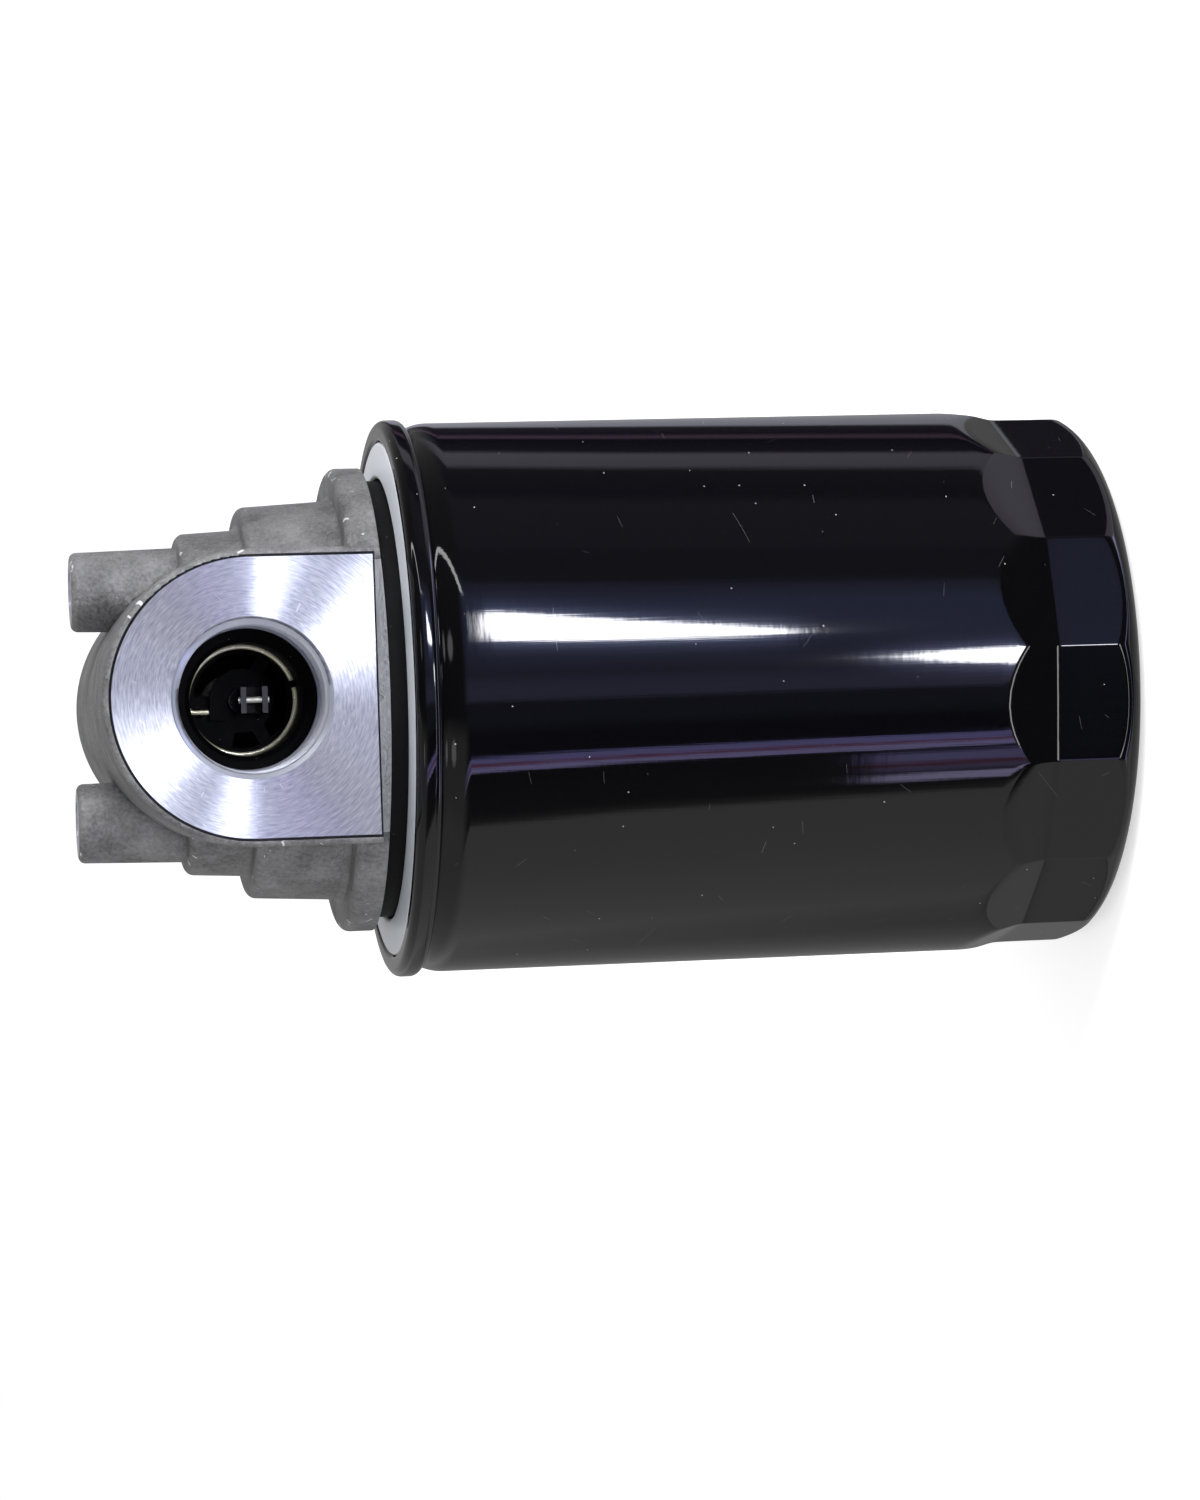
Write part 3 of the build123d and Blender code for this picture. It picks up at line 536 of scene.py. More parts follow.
port_rod = thread_rod(PORT_RADIUS - ROD_CLEARANCE, PORT_MAJOR, PORT_PITCH, PORT_THREAD)
boss_rod = thread_rod(BOSS_HOLE - ROD_CLEARANCE, BOSS_MAJOR, BOSS_PITCH, BOSS_THREAD)
cutters = []
for side in (-1, 1):
    start = Vector((0, side * (PAD_DISTANCE + PORT_OVERSHOOT - PORT_THREAD), PORT_AXIS)) * MM
    turn = Matrix.Rotation(-side * math.pi / 2, 4, "X")
    cutters.append(rod_object("port_rod", *port_rod, Matrix.Translation(start) @ turn))
    start = Vector((side * BOSS_SPACING / 2, 0, BOSS_TOP + BOSS_OVERSHOOT - BOSS_THREAD)) * MM
    cutters.append(rod_object("boss_rod", *boss_rod, Matrix.Translation(start)))

# %% Tapping
head_mesh = frame["nodes"]["filter_head"].data.copy()
finish_mesh(head_mesh)
head = new_object("head_casting", head_mesh)
for rod in cutters:
    cut = head.modifiers.new("tapping", "BOOLEAN")
    cut.operation = "DIFFERENCE"
    cut.solver = "EXACT"
    cut.object = rod
bpy.context.view_layer.update()
evaluated = head.evaluated_get(bpy.context.evaluated_depsgraph_get())
tapped = bpy.data.meshes.new_from_object(evaluated)
head.modifiers.clear()
head.data = tapped
finish_mesh(tapped, HEAD_SHARP_ANGLE)
for rod in cutters:
    bpy.data.objects.remove(rod)
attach(head, "head")
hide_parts("filter_head")
report(head)

# %% [markdown]
# ## Shared effects
# Several finishes share the same small effects, so each effect is a node group with named inputs.
# A group puts out masks and heights only. The shader stays in the material itself. Pits, scratches
# and dust all start from one texture, which splits space into cells. It gives each point its cell's
# middle, the distance to that middle and the cell's random colour.


# %% Groups and nodes
def new_group(name, numbers, outputs):
    """An empty node group with a Vector input, named numbers with their defaults, and outputs.

    Returns the group, its inputs as seen from inside, and the sockets its results go to.
    """
    group = bpy.data.node_groups.new(name, "ShaderNodeTree")
    group.interface.new_socket("Vector", in_out="INPUT", socket_type="NodeSocketVector")
    for socket_name, default in numbers.items():
        socket = group.interface.new_socket(socket_name, in_out="INPUT", socket_type="NodeSocketFloat")
        socket.default_value = default
    for socket_name in outputs:
        group.interface.new_socket(socket_name, in_out="OUTPUT", socket_type="NodeSocketFloat")
    return group, group.nodes.new("NodeGroupInput").outputs, group.nodes.new("NodeGroupOutput").inputs


def feed(tree, socket, value):
    """Links an output into a socket, or sets the socket to a plain value. Colours come without alpha."""
    if isinstance(value, bpy.types.NodeSocket):
        tree.links.new(value, socket)
    elif socket.type == "RGBA":
        socket.default_value = (*value, 1.0)
    else:
        socket.default_value = value


def add_node(tree, kind, settings=None, **values):
    """A node of a tree with its settings and input values.

    An underscore in a value's name stands for a space, and i0, i1, i2 and so on are places.
    """
    node = tree.nodes.new("ShaderNode" + kind)
    for setting, value in (settings or {}).items():
        setattr(node, setting, value)
    for name, value in values.items():
        is_place = name[0] == "i" and name[1:].isdigit()
        feed(tree, node.inputs[int(name[1:]) if is_place else name.replace("_", " ")], value)
    return node


# %% Numbers, vectors and colours
def math_node(tree, operation, first, second=0.0, third=0.0):
    """The output of a Math node."""
    return add_node(tree, "Math", {"operation": operation}, i0=first, i1=second, i2=third).outputs[0]


def vector_math(tree, operation, first, second=(0.0, 0.0, 0.0)):
    """The output of a Vector Math node, which is a number for LENGTH and DOT_PRODUCT."""
    node = add_node(tree, "VectorMath", {"operation": operation}, i0=first, i1=second)
    return node.outputs["Value" if operation in ("LENGTH", "DOT_PRODUCT") else "Vector"]


def share_of(tree, value, low, high, curve="LINEAR"):
    """How far a value has come on the way from low to high, held between 0 and 1."""
    node = add_node(tree, "MapRange", {"interpolation_type": curve}, Value=value, From_Min=low, From_Max=high)
    return node.outputs[0]


def between(tree, share, low, high):
    """The number at a share of the way from low to high."""
    return add_node(tree, "MapRange", Value=share, To_Min=low, To_Max=high).outputs[0]


def mixed(tree, factor, first, second):
    """The output of a colour mix."""
    return add_node(tree, "Mix", {"data_type": "RGBA"}, Factor=factor, i6=first, i7=second).outputs[2]


# %% Grain
PIT_SPACING = 0.35
PIT_RIM = 0.35
PIT_SOFTNESS = 0.2


def grain_group():
    """Cast or moulded skin: fine noise in grains per metre, and small pits set wider apart.

    A pit's bowl is the distance to the middle of its cell, held softly under PIT_RIM.
    """
    group, given, result = new_group("grain", {"Scale": 2000.0, "Pits": 0.4}, ("Height", "Mask"))
    place, scale = given["Vector"], given["Scale"]
    fine = add_node(group, "TexNoise", Vector=place, Scale=scale, Detail=3.0, Roughness=0.6).outputs["Fac"]
    pit_scale = math_node(group, "MULTIPLY", scale, PIT_SPACING)
    pits = add_node(group, "TexVoronoi", Vector=place, Scale=pit_scale).outputs["Distance"]
    bowl = math_node(group, "SMOOTH_MIN", pits, PIT_RIM, PIT_SOFTNESS)
    group.links.new(math_node(group, "MULTIPLY_ADD", bowl, given["Pits"], fine), result["Height"])
    group.links.new(fine, result["Mask"])
    return group


# %% Scratches
def scratch_group():
    """Short straight scratches, one in each chosen cell.

    Each cell has a random plane through its middle, with normal n = colour - 0.5. The plane cuts
    the surface in a thin line: |(p - middle) . n| < Width, kept within Length of the middle.
    """
    numbers = {"Scale": 100.0, "Width": 0.00004, "Length": 0.003, "Share": 0.5}
    group, given, result = new_group("scratches", numbers, ("Mask",))
    cells = add_node(group, "TexVoronoi", Vector=given["Vector"], Scale=given["Scale"]).outputs
    local = vector_math(group, "SUBTRACT", given["Vector"], cells["Position"])
    normal = vector_math(group, "SUBTRACT", cells["Color"], (0.5, 0.5, 0.5))
    off = math_node(group, "ABSOLUTE", vector_math(group, "DOT_PRODUCT", local, normal))
    line = math_node(group, "LESS_THAN", off, given["Width"])
    near = math_node(group, "LESS_THAN", vector_math(group, "LENGTH", local), given["Length"])
    drawn = add_node(group, "SeparateColor", Color=cells["Color"]).outputs["Blue"]
    chosen = math_node(group, "LESS_THAN", drawn, given["Share"])
    short_line = math_node(group, "MULTIPLY", line, near)
    group.links.new(math_node(group, "MULTIPLY", short_line, chosen), result["Mask"])
    return group


# %% Dust
def dust_group():
    """Dust: the middles of a chosen share of cells. Size is a speck's radius in cells."""
    group, given, result = new_group("dust", {"Scale": 500.0, "Size": 0.06, "Share": 0.2}, ("Mask",))
    cells = add_node(group, "TexVoronoi", Vector=given["Vector"], Scale=given["Scale"]).outputs
    speck = math_node(group, "LESS_THAN", cells["Distance"], given["Size"])
    drawn = add_node(group, "SeparateColor", Color=cells["Color"]).outputs["Red"]
    chosen = math_node(group, "LESS_THAN", drawn, given["Share"])
    group.links.new(math_node(group, "MULTIPLY", speck, chosen), result["Mask"])
    return group


# %% Turning marks
def turning_group():
    """Turning marks: noise that reads only the distance from an axis makes rings, and noise that
    also reads the angle makes short arcs.

    The vector comes in with the axis at the origin and the piece flattened along it, so its
    length is the radius r, and the angle is atan2(y + z, x), since y or z is 0.
    """
    group, given, result = new_group("turning", {"Rings": 4000.0, "Arcs": 12.0}, ("Height", "Tone"))
    radius = vector_math(group, "LENGTH", given["Vector"])
    parts = add_node(group, "SeparateXYZ", Vector=given["Vector"]).outputs
    around = math_node(group, "ARCTAN2", math_node(group, "ADD", parts["Y"], parts["Z"]), parts["X"])
    ring_place = math_node(group, "MULTIPLY", radius, given["Rings"])
    arc_place = math_node(group, "MULTIPLY", around, given["Arcs"])
    polar = add_node(group, "CombineXYZ", X=ring_place, Y=arc_place).outputs[0]
    plane, line = {"noise_dimensions": "2D"}, {"noise_dimensions": "1D"}
    arcs = add_node(group, "TexNoise", plane, Vector=polar, Scale=0.7, Detail=2.0, Roughness=0.6)
    rings = add_node(group, "TexNoise", line, W=radius, Scale=given["Rings"], Detail=2.0)
    group.links.new(arcs.outputs["Fac"], result["Tone"])
    group.links.new(rings.outputs["Fac"], result["Height"])
    return group


grain = grain_group()
scratches = scratch_group()
dust = dust_group()
turning = turning_group()
print("groups:", [group.name for group in bpy.data.node_groups])

# %% [markdown]
# ## Finishes
# Each finish is one material with the shader in plain sight. Flat numbers sit on the shader's own
# sockets, and only what varies over the surface is linked.

# %% Material helpers
finishes = {}


def new_material(name, color, roughness, metallic=0.0, **flat):
    """A material with one Principled shader that holds the flat values.

    Returns the material, its tree, its shader's inputs and the piece's own coordinates.
    """
    material = bpy.data.materials.new(name)
    material.use_nodes = True
    material.diffuse_color = (*color, 1.0)
    tree = material.node_tree
    shader = tree.nodes["Principled BSDF"].inputs
    values = {"Base Color": color, "Roughness": roughness, "Metallic": metallic, **flat}
    for socket_name, value in values.items():
        feed(tree, shader[socket_name.replace("_", " ")], value)
    return material, tree, shader, tree.nodes.new("ShaderNodeTexCoord").outputs["Object"]


def use_group(tree, group, place, **numbers):
    """The outputs of a group node, with its vector linked and its numbers set."""
    return add_node(tree, "Group", {"node_tree": group}, Vector=place, **numbers).outputs


def stretched(tree, vector, scale, move=(0.0, 0.0, 0.0)):
    """The vector moved by move in metres and then scaled along each axis."""
    return vector_math(tree, "MULTIPLY", vector_math(tree, "ADD", vector, move), scale)


def bumped(tree, shader, height, distance):
    """Feeds a height through a Bump node to the shader's normal. distance is in metres."""
    bump = add_node(tree, "Bump", Strength=1.0, Distance=distance, Height=height)
    tree.links.new(bump.outputs["Normal"], shader["Normal"])


# %% [markdown]
# ## Black paint
# The can is painted after it is drawn. Gloss paint is a mirror, and a bump of a few thousandths of
# a millimetre is enough to blur it, stretched along and around the can as drawing and brushing
# leave it. Scratches and dust change the colour and the roughness by the same mask, because dust
# is both pale and matt.

# %% Black paint
PAINT_COLOR = (0.001, 0.001, 0.0013)
PAINT_ROUGHNESS = 0.04
SCUFF_COLOR = (0.25, 0.25, 0.27)
SCUFF_ROUGHNESS = 0.4
AROUND_SHARE = 0.3
LINE_SHARE = 0.3


def black_paint():
    """Gloss paint on drawn sheet: faint lines along and around the can, scratches and settled dust."""
    material, tree, shader, place = new_material("black_paint", PAINT_COLOR, PAINT_ROUGHNESS, IOR=1.5)
    upright = stretched(tree, place, scale=(1.0, 1.0, 0.02))
    level = stretched(tree, place, scale=(0.25, 0.25, 1.0))
    along = add_node(tree, "TexNoise", Vector=upright, Scale=1100.0, Detail=3.0, Roughness=0.6)
    around = add_node(tree, "TexNoise", Vector=level, Scale=900.0, Detail=2.0)
    height = math_node(tree, "MULTIPLY_ADD", around.outputs["Fac"], AROUND_SHARE, along.outputs["Fac"])
    bumped(tree, shader, height, distance=0.000006)
    long_ones = use_group(tree, scratches, place, Scale=60.0, Width=0.000008, Length=0.004, Share=0.2)
    short_ones = use_group(tree, scratches, place, Scale=170.0, Width=0.000008, Length=0.0012, Share=0.3)
    specks = use_group(tree, dust, place, Scale=330.0, Size=0.045, Share=0.35)
    lines = math_node(tree, "MAXIMUM", long_ones["Mask"], short_ones["Mask"])
    marks = math_node(tree, "MAXIMUM", math_node(tree, "MULTIPLY", lines, LINE_SHARE), specks["Mask"])
    tree.links.new(mixed(tree, marks, PAINT_COLOR, SCUFF_COLOR), shader["Base Color"])
    tree.links.new(between(tree, marks, PAINT_ROUGHNESS, SCUFF_ROUGHNESS), shader["Roughness"])
    return material


finishes["black_paint"] = black_paint()

# %% [markdown]
# ## Cast skin
# The head is die cast and blasted, so it is dull and mottled. Noise in the piece's own coordinates
# keeps its grain size on every face and shows no seams. Handling leaves bright nicks, most of all on
# the rounded edges, which a mask on the faces picks out.

# %% Cast aluminium
ROUND_MASK = "round_edge"
CAST_COLOR = (0.18, 0.18, 0.185)
CAST_ROUGHNESS = 0.43
CAST_METALLIC = 0.55
CAST_DARK = (0.07, 0.07, 0.072)
CAST_LIGHT = (0.33, 0.33, 0.34)
CREST_SHARE = 0.7
# Painted light: the flange's rim under each pad is lightened where the pad shades it.
RIM_PAINTED_LIGHT_COLOR = (0.75, 0.75, 0.78)
RIM_PAINTED_LIGHT_SHARE = 0.8
RIM_MARGIN = 0.5
NICK_COLOR = (0.7, 0.7, 0.73)


def cast_aluminium():
    """Blasted casting: a fine pitted grain with lighter crests, soft blotches and a few bright nicks.

    Below each pad the flange's rim is painted lighter, as painted light where the pad shades it: |x| is less
    than the pad's half width and z is below the flange's top.
    """
    material, tree, shader, place = new_material("cast_aluminium", CAST_COLOR, CAST_ROUGHNESS, CAST_METALLIC)
    skin = use_group(tree, grain, place, Scale=1500.0, Pits=0.9)
    blotch = add_node(tree, "TexNoise", Vector=place, Scale=130.0, Detail=5.0, Roughness=0.65)
    shade = math_node(tree, "MULTIPLY_ADD", skin["Mask"], CREST_SHARE, blotch.outputs["Fac"])
    tone = mixed(tree, share_of(tree, shade, low=0.5, high=1.2), CAST_DARK, CAST_LIGHT)
    # Painted light on the flange's rim below each pad, which the pad's overhang shades.
    parts = add_node(tree, "SeparateXYZ", Vector=place).outputs
    across = math_node(tree, "ABSOLUTE", parts["X"])
    beside = math_node(tree, "LESS_THAN", across, (PAD_HALF_WIDTH - RIM_MARGIN) * MM)
    below = math_node(tree, "LESS_THAN", parts["Z"], FLANGE_TOP * MM)
    rim_painted_light = math_node(tree, "MULTIPLY", beside, below)
    tone = mixed(tree, math_node(tree, "MULTIPLY", rim_painted_light, RIM_PAINTED_LIGHT_SHARE), tone, RIM_PAINTED_LIGHT_COLOR)
    nicks = use_group(tree, scratches, place, Scale=170.0, Width=0.00004, Length=0.0012, Share=0.25)
    chips = use_group(tree, scratches, place, Scale=420.0, Width=0.00008, Length=0.0007, Share=0.4)
    edges = add_node(tree, "Attribute", {"attribute_name": ROUND_MASK}).outputs["Fac"]
    worn = math_node(tree, "MULTIPLY_ADD", chips["Mask"], edges, nicks["Mask"])
    tree.links.new(mixed(tree, worn, tone, NICK_COLOR), shader["Base Color"])
    bumped(tree, shader, skin["Height"], distance=0.0003)
    return material


finishes["cast_aluminium"] = cast_aluminium()

# %% [markdown]
# ## Turned faces
# The pads are faced on a machine, which leaves thousands of fine grooves round the port. Each one
# spreads light across itself, and together they make bright fans. Modelled grooves would be far too
# many, so the shader is anisotropic, and its roughness stays high enough to keep the arcs in view.

# %% Turned aluminium
PORT_LINE = (0.0, 0.0, PORT_AXIS)
BOSS_LINE = (BOSS_SPACING / 2, 0.0, 0.0)
TURNED_COLOR = (0.86, 0.88, 0.93)
TURNED_DARK = (0.5, 0.53, 0.62)
TURNED_LIGHT = (0.88, 0.89, 0.95)
TURNED_ROUGHNESS = 0.28
DENT_COLOR = (0.99, 0.99, 1.0)
# The dark line along the pad's outline is partly a burr and partly painted shadow.
BURR_AND_SHADE_COLOR = (0.03, 0.03, 0.035)
BURR_AND_SHADE_ROUGHNESS = 0.7


def pad_border(tree, from_axis):
    """1 on a thin dark line along the pad's D-shaped outline, which is a half circle on straight sides. The
    line is partly a burr and partly painted shadow at the pad's edge.

    With z upwards from the port's axis, the distance to the middle line is |(x, max(z, 0))|.
    """
    parts = add_node(tree, "SeparateXYZ", Vector=from_axis).outputs
    upper = math_node(tree, "MAXIMUM", parts["Z"], 0.0)
    flat = add_node(tree, "CombineXYZ", X=parts["X"], Y=upper).outputs[0]
    reach = vector_math(tree, "LENGTH", flat)
    beside = math_node(tree, "GREATER_THAN", reach, (PAD_HALF_WIDTH - BURR_AND_SHADE_WIDTH) * MM)
    below = math_node(tree, "LESS_THAN", parts["Z"], (BURR_AND_SHADE_WIDTH - PAD_DEPTH) * MM)
    return math_node(tree, "MAXIMUM", beside, below)


def turned_aluminium(name, rings, axis, flatten, border=None):
    """Bright turned metal. Its fine grooves run round the axis and spread light along the radius,
    so the shader is anisotropic and its tangent is the direction away from the axis."""
    material, tree, shader, place = new_material(
        name, TURNED_COLOR, TURNED_ROUGHNESS, metallic=0.9, Anisotropic=1.0,
    )
    from_axis = stretched(tree, place, flatten, tuple(-value * MM for value in axis))
    marks = use_group(tree, turning, from_axis, Rings=rings)
    dents = use_group(tree, scratches, place, Scale=300.0, Width=0.00003, Length=0.0008, Share=0.35)
    tone = mixed(tree, share_of(tree, marks["Tone"], low=0.25, high=0.75), TURNED_DARK, TURNED_LIGHT)
    tone = mixed(tree, dents["Mask"], tone, DENT_COLOR)
    if border:
        # Painted shadow, partly a burr: the thin line along the pad's outline is darkened and roughened.
        burr_and_shade = border(tree, from_axis)
        tone = mixed(tree, burr_and_shade, tone, BURR_AND_SHADE_COLOR)
        tree.links.new(between(tree, burr_and_shade, TURNED_ROUGHNESS, BURR_AND_SHADE_ROUGHNESS), shader["Roughness"])
    tree.links.new(tone, shader["Base Color"])
    bumped(tree, shader, marks["Height"], distance=0.00002)
    tree.links.new(vector_math(tree, "NORMALIZE", from_axis), shader["Tangent"])
    return material


finishes["turned_pad"] = turned_aluminium("turned_pad", 4500.0, PORT_LINE, (1.0, 0.0, 1.0), pad_border)
finishes["turned_boss"] = turned_aluminium("turned_boss", 3200.0, BOSS_LINE, (1.0, 1.0, 0.0))

# %% [markdown]
# ## Plain metals, rubber, plastic and paper
# The other pieces are small or hidden, so a colour, a roughness and a fine grain are enough. They
# share two functions and two tables, and one more finish costs one line.

# %% Plain metals, rubber, plastic and paper
SMOOTHER, ROUGHER = 0.08, 0.12
DUST_COLOR = (0.12, 0.12, 0.12)
# Painted light: the paler colour of the poppet's tips nearer the port's mouth.
PAINTED_LIGHT_TIP_COLOR = (0.045, 0.043, 0.055)
FIBRE_DARK = (0.6, 0.43, 0.22)
FIBRE_LIGHT = (0.82, 0.66, 0.4)


def plain_metal(name, color, roughness, scale, depth, metallic):
    """Sheet, plate or wire: a metal with a fine uneven grain. A passivated skin is less metallic."""
    material, tree, shader, place = new_material(name, color, roughness, metallic)
    skin = use_group(tree, grain, place, Scale=scale, Pits=0.2)
    uneven = between(tree, skin["Mask"], roughness - SMOOTHER, roughness + ROUGHER)
    tree.links.new(uneven, shader["Roughness"])
    bumped(tree, shader, skin["Height"], depth)
    return material


def soft_black(name, color, roughness, scale, depth, shine, painted_light_tips=None):
    """Rubber or moulded plastic: near black with a fine grain and grey dust in it.

    painted_light_tips are two values of y in mm, from the plain plastic to where it is painted paler, as
    painted light on the tips nearer the port's mouth.
    """
    material, tree, shader, place = new_material(name, color, roughness, Specular_IOR_Level=shine)
    skin = use_group(tree, grain, place, Scale=scale, Pits=0.3)
    specks = use_group(tree, dust, place, Scale=900.0, Size=0.07, Share=0.25)
    tone = mixed(tree, specks["Mask"], color, DUST_COLOR)
    # Painted light: the plastic turns paler toward the port's mouth, where light reaches the tips.
    if painted_light_tips:
        depth_in = add_node(tree, "SeparateXYZ", Vector=place).outputs["Y"]
        tip_painted_light = share_of(tree, depth_in, painted_light_tips[0] * MM, painted_light_tips[1] * MM)
        tone = mixed(tree, tip_painted_light, tone, PAINTED_LIGHT_TIP_COLOR)
    tree.links.new(tone, shader["Base Color"])
    bumped(tree, shader, skin["Height"], depth)
    return material


def filter_paper():
    """Resin-treated paper: yellowish brown fibres that run up the pleats."""
    material, tree, shader, place = new_material("filter_paper", (0.72, 0.55, 0.3), roughness=0.85)
    upright = stretched(tree, place, scale=(1.0, 1.0, 0.2))
    fibres = add_node(tree, "TexNoise", Vector=upright, Scale=3000.0, Detail=3.0).outputs["Fac"]
    tree.links.new(mixed(tree, fibres, FIBRE_DARK, FIBRE_LIGHT), shader["Base Color"])
    bumped(tree, shader, fibres, distance=0.00005)
    return material


# %% The finishes by name
# Colour, roughness, grains per metre, depth of the grain in metres, and how metallic it is.
METALS = {
    "zinc_sheet": ((0.8, 0.84, 0.9), 0.3, 900.0, 0.00001, 0.3),
    "plate_steel": ((0.5, 0.5, 0.5), 0.4, 1500.0, 0.00002, 1.0),
    "tin_sheet": ((0.66, 0.66, 0.64), 0.32, 900.0, 0.00001, 1.0),
    "spring_steel": ((0.7, 0.7, 0.64), 0.3, 2500.0, 0.00001, 0.6),
    "yellow_wire": ((1.0, 0.97, 0.74), 0.22, 2500.0, 0.00001, 0.7),
    "tapped_bore": ((0.6, 0.63, 0.72), 0.36, 900.0, 0.000002, 0.8),
}
# Colour, roughness, grains per metre, depth of the grain in metres, shine, and the tips that painted light
# makes paler.
BLACKS = {
    "black_rubber": ((0.004, 0.004, 0.0045), 0.65, 2500.0, 0.00004, 0.2),
    "black_plastic": ((0.0006, 0.0006, 0.0008), 0.5, 1800.0, 0.00001, 0.06),
    "plastic_painted_light_tips": ((0.001, 0.001, 0.0012), 0.35, 1800.0, 0.00002, 0.15, (-26.5, -27.5)),
}
finishes["filter_paper"] = filter_paper()
finishes |= {name: plain_metal(name, *values) for name, values in METALS.items()}
finishes |= {name: soft_black(name, *values) for name, values in BLACKS.items()}
print("finishes:", ", ".join(finishes))

# %% [markdown]
# ## Dressing the pieces
# Each solid's record names the finish it was designed with, so one loop dresses them all. Only the
# valve's poppet gets another one, whose outer tips are painted paler as painted light from the port's mouth.

# %% Give every piece its finish
slot_of = {row["node"]: row["material_slot"] for row in frame["record"]["subparts"]}
# The poppet's tips carry painted light.
slot_of["bypass_poppet"] = "plastic_painted_light_tips"
dressed = [(frame["nodes"][node], slot) for node, slot in slot_of.items()]
for piece, slot in dressed + [(can, "black_paint"), (lid, "zinc_sheet"), (gasket, "black_rubber")]:
    piece.data.materials.clear()
    piece.data.materials.append(finishes[slot])
print("finishes given to", len(slot_of), "nodes")

# %% [markdown]
# ## One casting, four finishes
# The head is one mesh, and each of its faces is cast, turned or tapped. The cutters have left no
# names on the faces, but where a face lies and which way it looks tells them apart. An edge between
# two finishes is made sharp, so that no shading leaks across it.

# %% Faces by finish
HEAD_FINISHES = ("cast_aluminium", "turned_pad", "tapped_bore", "turned_boss")
ON_FACE = 0.01
SQUARE_ON = 0.99
PORT_MARGIN = 0.5
BOSS_MARGIN = 0.3
BOSS_HOLE_END = 1.0


def mesh_array(elements, value, width=1, kind=np.float32):
    """One value of all elements of a mesh, with a row for each element if it has several numbers."""
    numbers = np.zeros(len(elements) * width, kind)
    elements.foreach_get(value, numbers)
    return numbers.reshape(-1, width) if width > 1 else numbers


def sort_head_faces(mesh):
    """The place of each face's finish in HEAD_FINISHES, from its middle and its normal, in mm."""
    middles = mesh_array(mesh.polygons, "center", 3) / MM
    normals = mesh_array(mesh.polygons, "normal", 3)
    from_port = np.hypot(middles[:, 0], middles[:, 2] - PORT_AXIS)
    from_boss = np.hypot(np.abs(middles[:, 0]) - BOSS_SPACING / 2, middles[:, 1])
    far = np.abs(middles[:, 1])
    pad = (far > PAD_DISTANCE - ON_FACE) & (np.abs(normals[:, 1]) > SQUARE_ON)
    bore = (from_port < PORT_MAJOR + PORT_MARGIN) & (far < PAD_DISTANCE - ON_FACE)
    in_depth = middles[:, 2] > BOSS_TOP - BOSS_THREAD - BOSS_HOLE_END
    tapped_hole = (from_boss < BOSS_MAJOR + BOSS_MARGIN) & in_depth
    boss = (middles[:, 2] > BOSS_TOP - ON_FACE) & (normals[:, 2] > SQUARE_ON)
    return np.select((pad, bore | tapped_hole, boss), (1, 2, 3), 0).astype(np.int32)


def sharpen_between_finishes(mesh, face_finish):
    """Marks an edge sharp where its faces have different finishes, so each face shades on its own."""
    loop_edge = mesh_array(mesh.loops, "edge_index", kind=np.int32)
    loop_finish = np.repeat(face_finish, mesh_array(mesh.polygons, "loop_total", kind=np.int32))
    lowest = np.full(len(mesh.edges), face_finish.max())
    highest = np.zeros_like(lowest)
    np.minimum.at(lowest, loop_edge, loop_finish)
    np.maximum.at(highest, loop_edge, loop_finish)
    sharp = mesh_array(mesh.edges, "use_edge_sharp", kind=bool)
    mesh.edges.foreach_set("use_edge_sharp", sharp | (lowest != highest))


# %% Rounded edges
TINY_AREA = 0.0001
LOW_BEND = 0.25


def mark_round_edges(mesh):
    """Gives each face a mask of how tightly the surface bends outwards there.

    A face's bend is half the sum of turn times length over its edges, divided by its area, where
    turn is the angle between the normals on both sides. A round of radius r has a bend of 1 / r.
    The mask rises from 0 at LOW_BEND to 1 at twice that bend.
    """
    faces = len(mesh.polygons)
    loop_edge = mesh_array(mesh.loops, "edge_index", kind=np.int32)
    loop_face = np.repeat(np.arange(faces), mesh_array(mesh.polygons, "loop_total", kind=np.int32))
    order = np.argsort(loop_edge, kind="stable")
    sorted_edge = loop_edge[order]
    paired = np.flatnonzero(sorted_edge[1:] == sorted_edge[:-1])
    first, second = loop_face[order[paired]], loop_face[order[paired + 1]]

    ends = mesh_array(mesh.edges, "vertices", 2, np.int32)[sorted_edge[paired]]
    points = mesh_array(mesh.vertices, "co", 3) / MM
    length = np.linalg.norm(points[ends[:, 0]] - points[ends[:, 1]], axis=1)
    middles = mesh_array(mesh.polygons, "center", 3) / MM
    normals = mesh_array(mesh.polygons, "normal", 3)
    apart = normals[second] - normals[first]
    turn = 2 * np.arcsin(np.clip(np.linalg.norm(apart, axis=1) / 2, 0, 1))
    outwards = np.sign(np.sum((middles[second] - middles[first]) * apart, axis=1))
    part = turn * length * outwards / 2
    total = np.bincount(first, part, faces) + np.bincount(second, part, faces)
    bend = total / np.maximum(mesh_array(mesh.polygons, "area") / MM**2, TINY_AREA)
    mask = mesh.attributes.new(ROUND_MASK, "FLOAT", "FACE")
    mask.data.foreach_set("value", np.clip(bend / LOW_BEND - 1, 0, 1).astype(np.float32))


# %% Dress the head
mark_round_edges(tapped)
tapped.materials.clear()
for finish in HEAD_FINISHES:
    tapped.materials.append(finishes[finish])
face_finish = sort_head_faces(tapped)
tapped.polygons.foreach_set("material_index", face_finish)
sharpen_between_finishes(tapped, face_finish)
weigh_normals(head)
print("head faces by finish:", np.bincount(face_finish))

